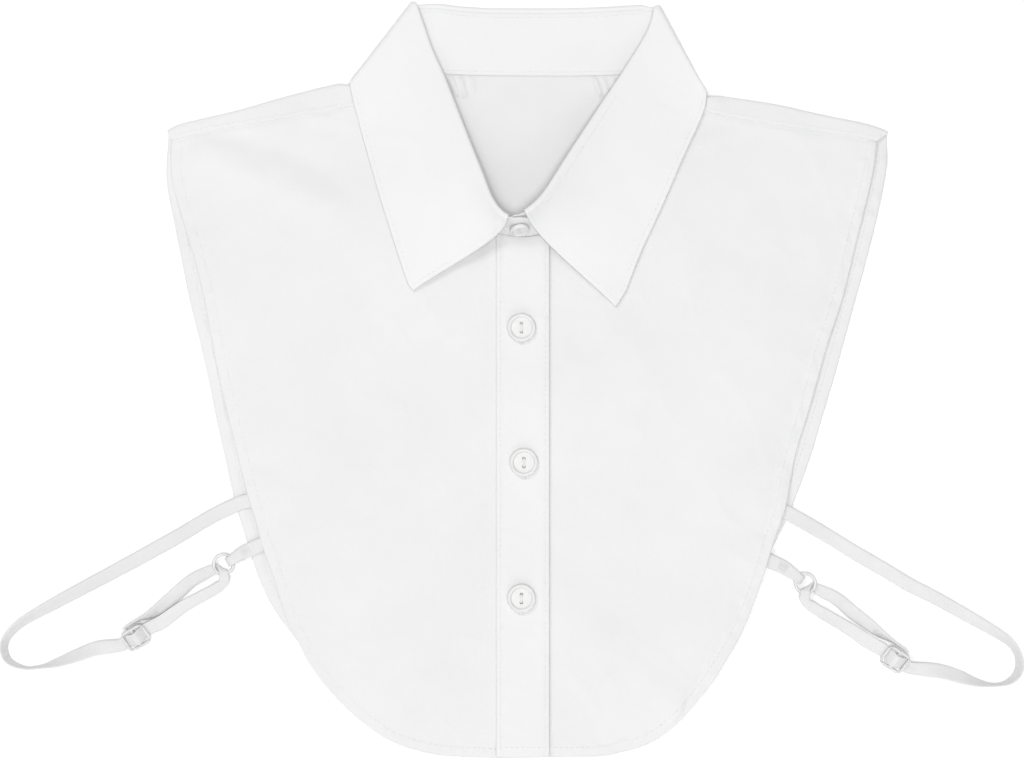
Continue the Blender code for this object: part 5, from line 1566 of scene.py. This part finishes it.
def leaf_rows(tree, grid, places, from_roll):
    """Rows of stitches along the edge and the ends of the leaf, and beside its roll."""
    rows = [[], []]
    for k in range(4, len(grid) - 4):
        line = grid[k][::-1]
        point = picked(line, along(line, 3), [LEAF_STITCH])[0]
        out = unit(np.cross(grid[k + 1, -6] - grid[k - 1, -6], line[0] - line[5]))
        for side, row in zip((-1.0, 1.0), rows):
            row.append(nearest(tree, point, out * side))
    for near, far in ((0, 6), (len(grid) - 1, len(grid) - 7)):
        for side in (-1.0, 1.0):
            row = []
            for i in range(16, grid.shape[1] - 3):
                way = grid[far, i] - grid[near, i]
                out = unit(np.cross(way, grid[near, i + 1] - grid[near, i]))
                row.append(nearest(tree, grid[near, i] + unit(way) * LEAF_STITCH, out * side))
            rows.append(row)
    row = []
    for line, place, reach in zip(grid, places, from_roll):
        if ROLL_STITCH_FROM < place < ROLL_STITCH_TO:
            row.append(on_top(tree, *picked(line, reach, [ROLL_STITCH])[0][:2]))
    rows.append([found for found in row if found is not None])
    return rows


LEAF_STITCH = 2.2
LEAF_PRESS = 0.85
LEAF_PRESS_REACH = 20.0
LEAF_GROOVE = 0.11
LEAF_LIP = 0.07
LEAF_RIPPLE = 0.05
# Inner edge of the leaf's seam allowance, its run and its height
LEAF_SEAM = 5.0
LEAF_SEAM_RUN = 1.4
LEAF_SEAM_HEIGHT = 0.07
LEAF_SETTLE = 0.16
LEAF_OVER = 0.12
# Share of the half collar that isn't near an end of the leaf
LEAF_END_SHARE = 0.45
ROLL_STITCH = 4.6
ROLL_GROOVE = 0.16
ROLL_GROOVE_FROM = 9.9
ROLL_GROOVE_TO = 15.0
ROLL_TOP = 6
# Places along the collar's front between which stitches run beside the roll
ROLL_STITCH_FROM = 10.2
ROLL_STITCH_TO = 14.4
LEAF_CREASE_Z = 6.5
# Soft creases of the leaf: x y to x y, height, width
LEAF_CREASES = (
    (-70, 122, -46, 116, 0.2, 3), (-60, 96, -44, 66, 0.2, 7), (-32, 80, -26, 66, 0.2, 3),
    (70, 124, 52, 112, 0.2, 3), (62, 96, 44, 64, 0.2, 7), (80, 130, 66, 136, 0.18, 2.6),
)

# Straps and their fittings
TAPE_HALF = 0.4
RIB = 1.0
RIB_HEIGHT = 0.09
BRAID_HEIGHT = 0.03
TAPE_EDGE = 0.04
TAPE_UNEVEN = 0.015
# Zigzag: stitches, step, thread, width over a strap's end and over a tab
ZIGZAG_COUNT = 9
ZIGZAG_STEP = 0.55
ZIGZAG_THREAD = 0.17
ZIGZAG_END_WIDTH = 3.6
ZIGZAG_TAB_WIDTH = 5.0


def tape(name, rows):
    """Braided elastic along rows of x y z, lift, width and heading."""
    rows = np.array(rows, float)
    rows[:, 5] = np.degrees(np.unwrap(np.radians(rows[:, 5])))
    fine = dense(rows, 20)
    places = along(fine, 3)
    where = np.linspace(0.0, places[-1], int(places[-1] / TAPE_CELL) + 1)
    across = np.linspace(-0.5, 0.5, 9)
    lines = []
    for x, y, z, lift, width, turn in picked(fine, places, where):
        lift, turn = math.radians(lift), math.radians(turn)
        level = math.cos(lift)
        lowest = 0.5 * width * abs(math.sin(lift)) + 0.5 * TAPE * level + 0.02
        way = np.array([math.cos(turn) * level, math.sin(turn) * level, math.sin(lift)])
        lines.append(np.array([x, y, max(z, lowest)]) + way * width * across[:, None])
    rib = RIB_HEIGHT * np.cos(TURN * where / RIB)[:, None]
    braid = BRAID_HEIGHT * np.cos(TURN * across * 5.0)[None, :]
    edge = np.where(np.abs(across) > 0.45, TAPE_EDGE, 0.0)[None, :]
    uneven = TAPE_UNEVEN * noise(where, where * 0.0, 3.0, 201)[:, None]
    thick = TAPE_HALF + rib + braid + edge
    grids = [(np.array(lines), thick + uneven, thick)]
    return tree_of(shell(name + "_tape", grids, ELASTIC_LOOK, [name]))


def make_straps():
    """Elastic straps, the tabs that hold their rings, and the zigzags that close them."""
    for name, run, lower, upper, ring, slider in (
        ("left", LEFT_RUN, LEFT_LOWER, LEFT_UPPER, LEFT_RING, LEFT_SLIDER),
        ("right", RIGHT_RUN, RIGHT_LOWER, RIGHT_UPPER, RIGHT_RING, RIGHT_SLIDER),
    ):
        rows = strand(run, 1) + slider_rows(slider) + strand(lower, 1)
        tree = tape("strap_" + name, rows + ring_rows(ring) + strand(upper, -1))
        zigzag("zigzag_end_" + name, tree, upper, ZIGZAG_END_WIDTH)
    for name, body, ring in (("left", LEFT_TAB, LEFT_RING), ("right", RIGHT_TAB, RIGHT_RING)):
        tree = tape("tab_" + name, strand(body, 1) + tab_rows(ring))
        zigzag("zigzag_tab_" + name, tree, body, ZIGZAG_TAB_WIDTH)


def zigzag(name, tree, rows, width):
    """Dense zigzag across a tape, from its fourth row towards its third."""
    start, end = np.array(rows[3][:2]), np.array(rows[2][:2])
    way = unit(end - start)
    side = np.array([-way[1], way[0]])
    rows = []
    for k in range(ZIGZAG_COUNT):
        half = side * (width if k % 2 else -width) / 2
        a = start + way * ZIGZAG_STEP * k - half
        b = start + way * ZIGZAG_STEP * (k + 1) + half
        row = [on_top(tree, *(a + (b - a) * t)) for t in (0.0, 0.5, 1.0)]
        if all(found is not None for found in row):
            rows.append(row)
    satin(name, rows, ZIGZAG_THREAD)


def lathe(name, profile, matrix):
    """Smooth turned button from a profile of radius and height."""
    steps = BUTTON_STEPS
    verts, faces, caps = [], [], []
    count = len(profile)
    low, high = steps * count, steps * count + 1
    for s in range(steps):
        turn = TURN * s / steps
        verts += [(radius * math.cos(turn), radius * math.sin(turn), z) for radius, z in profile]
        here, there = s * count, (s + 1) % steps * count
        for k in range(count - 1):
            faces.append((here + k, there + k, there + k + 1, here + k + 1))
        caps += [(low, there, here), (high, here + count - 1, there + count - 1)]
    verts += [(0.0, 0.0, profile[0][1]), (0.0, 0.0, profile[-1][1])]
    obj = piece(name + "_turned", verts, faces + caps, PEARL_LOOK, [name])
    obj.matrix_world = matrix
    return obj


BUTTON_SETTLE = 0.34
BUTTON_STEPS = 72
RING_STEPS = 72
RING_SIDES = 18
BUTTON_DISH = 0.62
BUTTON_THREAD = 0.27
THREAD_APART = 0.28
HOLE_RADIUS = 0.85
HOLE_STEPS = 24
CUTTER_DEPTH = 8.0
# Place of the neck button along the collar, and its share of the stand's height
NECK_BUTTON_PLACE = 9.0
NECK_BUTTON_UP = 0.52


# Profile of a button: share of its radius, share of its height
BUTTON_PROFILE = (
    (0.6, 0.0), (0.84, 0.02), (0.93, 0.12), (0.975, 0.28), (1.0, 0.5), (0.99, 0.68),
    (0.96, 0.84), (0.915, 0.95), (0.87, 1.0), (0.815, 0.98), (0.77, 0.92), (0.735, 0.83),
    (0.71, 0.7), (0.69, 0.63), (0.66, 0.6), (0.62, 0.61), (0.56, 0.64), (0.48, 0.65),
    (0.4, 0.65), (0.3, 0.635), (0.15, 0.62),
)


def evaluated(obj):
    """New mesh of an object with its modifiers or its bevel."""
    graph = bpy.context.evaluated_depsgraph_get()
    mesh = bpy.data.meshes.new_from_object(obj.evaluated_get(graph))
    weld(mesh)
    return mesh


def wire(line, radius):
    """Rings of a tube along a line of points."""
    side, rings = np.array([1.0, 0.0, 0.0]), []
    for k, point in enumerate(line):
        way = unit(line[min(k + 1, len(line) - 1)] - line[max(k - 1, 0)])
        if abs(way @ side) > 0.95:
            side = np.array([0.0, 1.0, 0.0])
        a = unit(side - way * (side @ way))
        rings.append((point, a, np.cross(way, a), radius))
    return rings


def make_buttons():
    """Turned two-hole buttons with their thread."""
    places = []
    for number, (x, y) in enumerate(BUTTONS, 1):
        around = [(0, 0), (1, 0), (-1, 0), (0, 1), (0, -1)]
        high = max(float(placket_height(x + dx * BUTTON_RADIUS, y + dy * BUTTON_RADIUS))
                   for dx, dy in around)
        centre = (x, y, high + CLOTH / 2 + SEAM_GAP - BUTTON_SETTLE)
        places.append((f"button_{number}", BUTTON_RADIUS, placed(centre, (1, 0, 0), UP)))
    neck, top, up, out = side_frame(NECK_BUTTON_PLACE, -1)[:4]
    off = CLOTH / 2 + SEAM_GAP + 0.1 - BUTTON_SETTLE
    centre = neck + (top - neck) * NECK_BUTTON_UP + out * off
    places.append(("neck_button", NECK_BUTTON_RADIUS, placed(centre, np.cross(up, out), out)))
    for name, radius, matrix in places:
        profile = [(r * radius, z * BUTTON_HEIGHT) for r, z in BUTTON_PROFILE]
        obj = lathe(name, profile, matrix)
        size = radius / BUTTON_RADIUS
        half = BUTTON_HOLE_APART * size / 2
        drill(obj, matrix, HOLE_RADIUS * size, half)
        sew_on(name, matrix, half)


def drill(obj, matrix, radius, half):
    """Cut two holes through a button."""
    cutters = []
    for y in (-half, half):
        bpy.ops.mesh.primitive_cylinder_add(
            vertices=HOLE_STEPS, radius=radius * MM, depth=CUTTER_DEPTH * MM)
        cutter = bpy.context.active_object
        cutter.matrix_world = matrix @ Matrix.Translation((0.0, y * MM, 0.0))
        cut = obj.modifiers.new("hole", "BOOLEAN")
        cut.operation, cut.solver, cut.object = "DIFFERENCE", "EXACT", cutter
        cutters.append(cutter)
    mesh = evaluated(obj)
    obj.modifiers.clear()
    obj.data = mesh
    for cutter in cutters:
        bpy.data.objects.remove(cutter, do_unlink=True)


def sew_on(name, matrix, half):
    """Two strands of thread over the bridge between a button's holes."""
    verts, faces = [], []
    dish = BUTTON_DISH * BUTTON_HEIGHT
    for x in (-THREAD_APART, THREAD_APART):
        path = [(x, -half, -0.15), (x, -half, dish - 0.2), (x, -half + 0.3, dish + 0.28),
                (x * 0.6, 0.0, dish + 0.42),
                (x, half - 0.3, dish + 0.28), (x, half, dish - 0.2), (x, half, -0.15)]
        add_tube(verts, faces, wire(dense(path, 5), BUTTON_THREAD), 8)
    thread = piece("thread_" + name, verts, faces, THREAD_LOOK)
    thread.matrix_world = matrix


def make_rings():
    """Moulded rings of the straps."""
    steps, sides = RING_STEPS, RING_SIDES
    for name, ring in (("ring_left", LEFT_RING), ("ring_right", RIGHT_RING)):
        verts, faces = [], []
        for k in range(steps):
            turn = TURN * k / steps
            here, there = k * sides, (k + 1) % steps * sides
            for s in range(sides):
                lift = TURN * s / sides
                reach = RING_RADIUS + RING_WIRE * math.cos(lift)
                verts.append((reach * math.cos(turn), reach * math.sin(turn),
                              RING_WIRE * math.sin(lift)))
                n = (s + 1) % sides
                faces.append((here + s, there + s, there + n, here + n))
        obj = piece(name + "_moulded", verts, faces, CLEAR_LOOK, [name])
        obj.matrix_world = placed((ring[0], ring[1], RING_Z), (1, 0, 0), UP)


def rounded(half_x, half_y, radius, centre_x, count=9):
    """Corner points of a rounded rectangle."""
    points = []
    for quarter, (sx, sy) in enumerate(((1, 1), (-1, 1), (-1, -1), (1, -1))):
        for k in range(count):
            turn = math.pi / 2 * (quarter + k / (count - 1))
            points.append((centre_x + sx * (half_x - radius) + radius * math.cos(turn),
                           sy * (half_y - radius) + radius * math.sin(turn)))
    return points


def make_sliders():
    """Moulded three-bar sliders with rounded bars."""
    edge = SLIDER_ROUND
    window = (SLIDER_LENGTH - 3 * SLIDER_BAR) / 4 + edge
    middle = SLIDER_BAR / 2 + window - edge
    half = SLIDER_WIDTH / 2
    outlines = [rounded(SLIDER_LENGTH / 2 - edge, half - edge, SLIDER_CORNER, 0.0)]
    for side in (-1, 1):
        outlines.append(rounded(window, half - SLIDER_BAR + edge, 1.0, side * middle))
    for name, slider in (("slider_left", LEFT_SLIDER), ("slider_right", RIGHT_SLIDER)):
        data = bpy.data.curves.new(name, "CURVE")
        data.dimensions = "2D"
        data.fill_mode = "BOTH"
        data.extrude = (SLIDER_THICK / 2 - edge) * MM
        data.bevel_depth = edge * MM
        data.bevel_resolution = 4
        for outline in outlines:
            line = data.splines.new("POLY")
            line.points.add(len(outline) - 1)
            for point, (x, y) in zip(line.points, outline):
                point.co = (x * MM, y * MM, 0.0, 1.0)
            line.use_cyclic_u = True
        holder = bpy.data.objects.new(name + "_line", data)
        bpy.context.scene.collection.objects.link(holder)
        mesh = evaluated(holder)
        bpy.data.objects.remove(holder, do_unlink=True)
        obj = dressed(name + "_moulded", mesh, CLEAR_LOOK, [name])
        x, y, ax, ay, raised = slider
        way = unit((ax, ay, 0.0))
        tilt = math.radians(SLIDER_TILT) * raised
        normal = UP * math.cos(tilt) - np.array([-way[1], way[0], 0.0]) * math.sin(tilt)
        obj.matrix_world = placed((x, y, SLIDER_Z), way, normal)


# Making


back = make_back()
over, under = make_fronts()
placket = make_placket()
stand = make_stand()
leaf = make_leaf()
make_straps()
make_buttons()
make_rings()
make_sliders()

# Sheets, listed only: piece, flat size in metres, area in square metres where it isn't a
# rectangle, what it rests on; the loop does nothing but turn each rest into a list
for obj, flat, area, rests in (
    (back, (0.375, 0.365), 0.0980, ["floor"]),
    (over, (0.195, 0.345), 0.0455, ["back_panel"]),
    (under, (0.200, 0.345), 0.0455, ["back_panel"]),
    (placket, (0.0262, 0.262), None, ["front_over"]),
    (stand, (0.395, 0.034), 0.0120, ["back_panel"]),
    (leaf, (0.420, 0.075), 0.0230, ["front_over", "front_under"]),
):
    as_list(rests)

# Floor, light and camera
bpy.ops.mesh.primitive_plane_add(size=6.0, location=(0.0, 0.0, -0.0002))
floor = bpy.context.active_object
floor.name = "floor"
pale, nodes, links, shader = node_material("pale_floor", (0.97, 0.97, 0.97), 0.9)
shader.inputs["Specular IOR Level"].default_value = 0.0
floor.data.materials.append(pale)
floor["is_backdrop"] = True

world = bpy.context.scene.world or bpy.data.worlds.new("studio")
bpy.context.scene.world = world
world.use_nodes = True
world.node_tree.nodes["Background"].inputs["Color"].default_value = (1.0, 1.0, 1.0, 1.0)
world.node_tree.nodes["Background"].inputs["Strength"].default_value = 0.38


def softbox(name, place, size, power):
    """Large soft light aimed at the middle of the object."""
    data = bpy.data.lights.new(name, "AREA")
    data.shape = "RECTANGLE"
    data.size, data.size_y = size
    data.energy = power
    lamp = bpy.data.objects.new(name, data)
    lamp.location = place
    lamp.rotation_euler = (-Vector(place)).to_track_quat("-Z", "Y").to_euler()
    bpy.context.scene.collection.objects.link(lamp)


softbox("top", (0.03, -0.24, 2.6), (0.7, 0.7), 35.5)
softbox("key", (-1.0, 1.4, 2.2), (1.1, 0.9), 18.0)
softbox("fill", (0.1, -2.0, 1.2), (2.4, 1.5), 14.0)

lens = bpy.data.cameras.new("camera")
lens.lens = 85.0
lens.sensor_width = 36.0
lens.clip_start = 0.01
eye = bpy.data.objects.new("camera", lens)
eye.location = (-0.0045, -0.00025, 1.209)
bpy.context.scene.collection.objects.link(eye)
bpy.context.scene.camera = eye
bpy.context.scene.view_settings.view_transform = "Standard"

({"cad": [[float(v) for v in corner] for corner in CAD_BOUNDS],
           "visual": [[float(v) for v in corner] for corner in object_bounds()]})
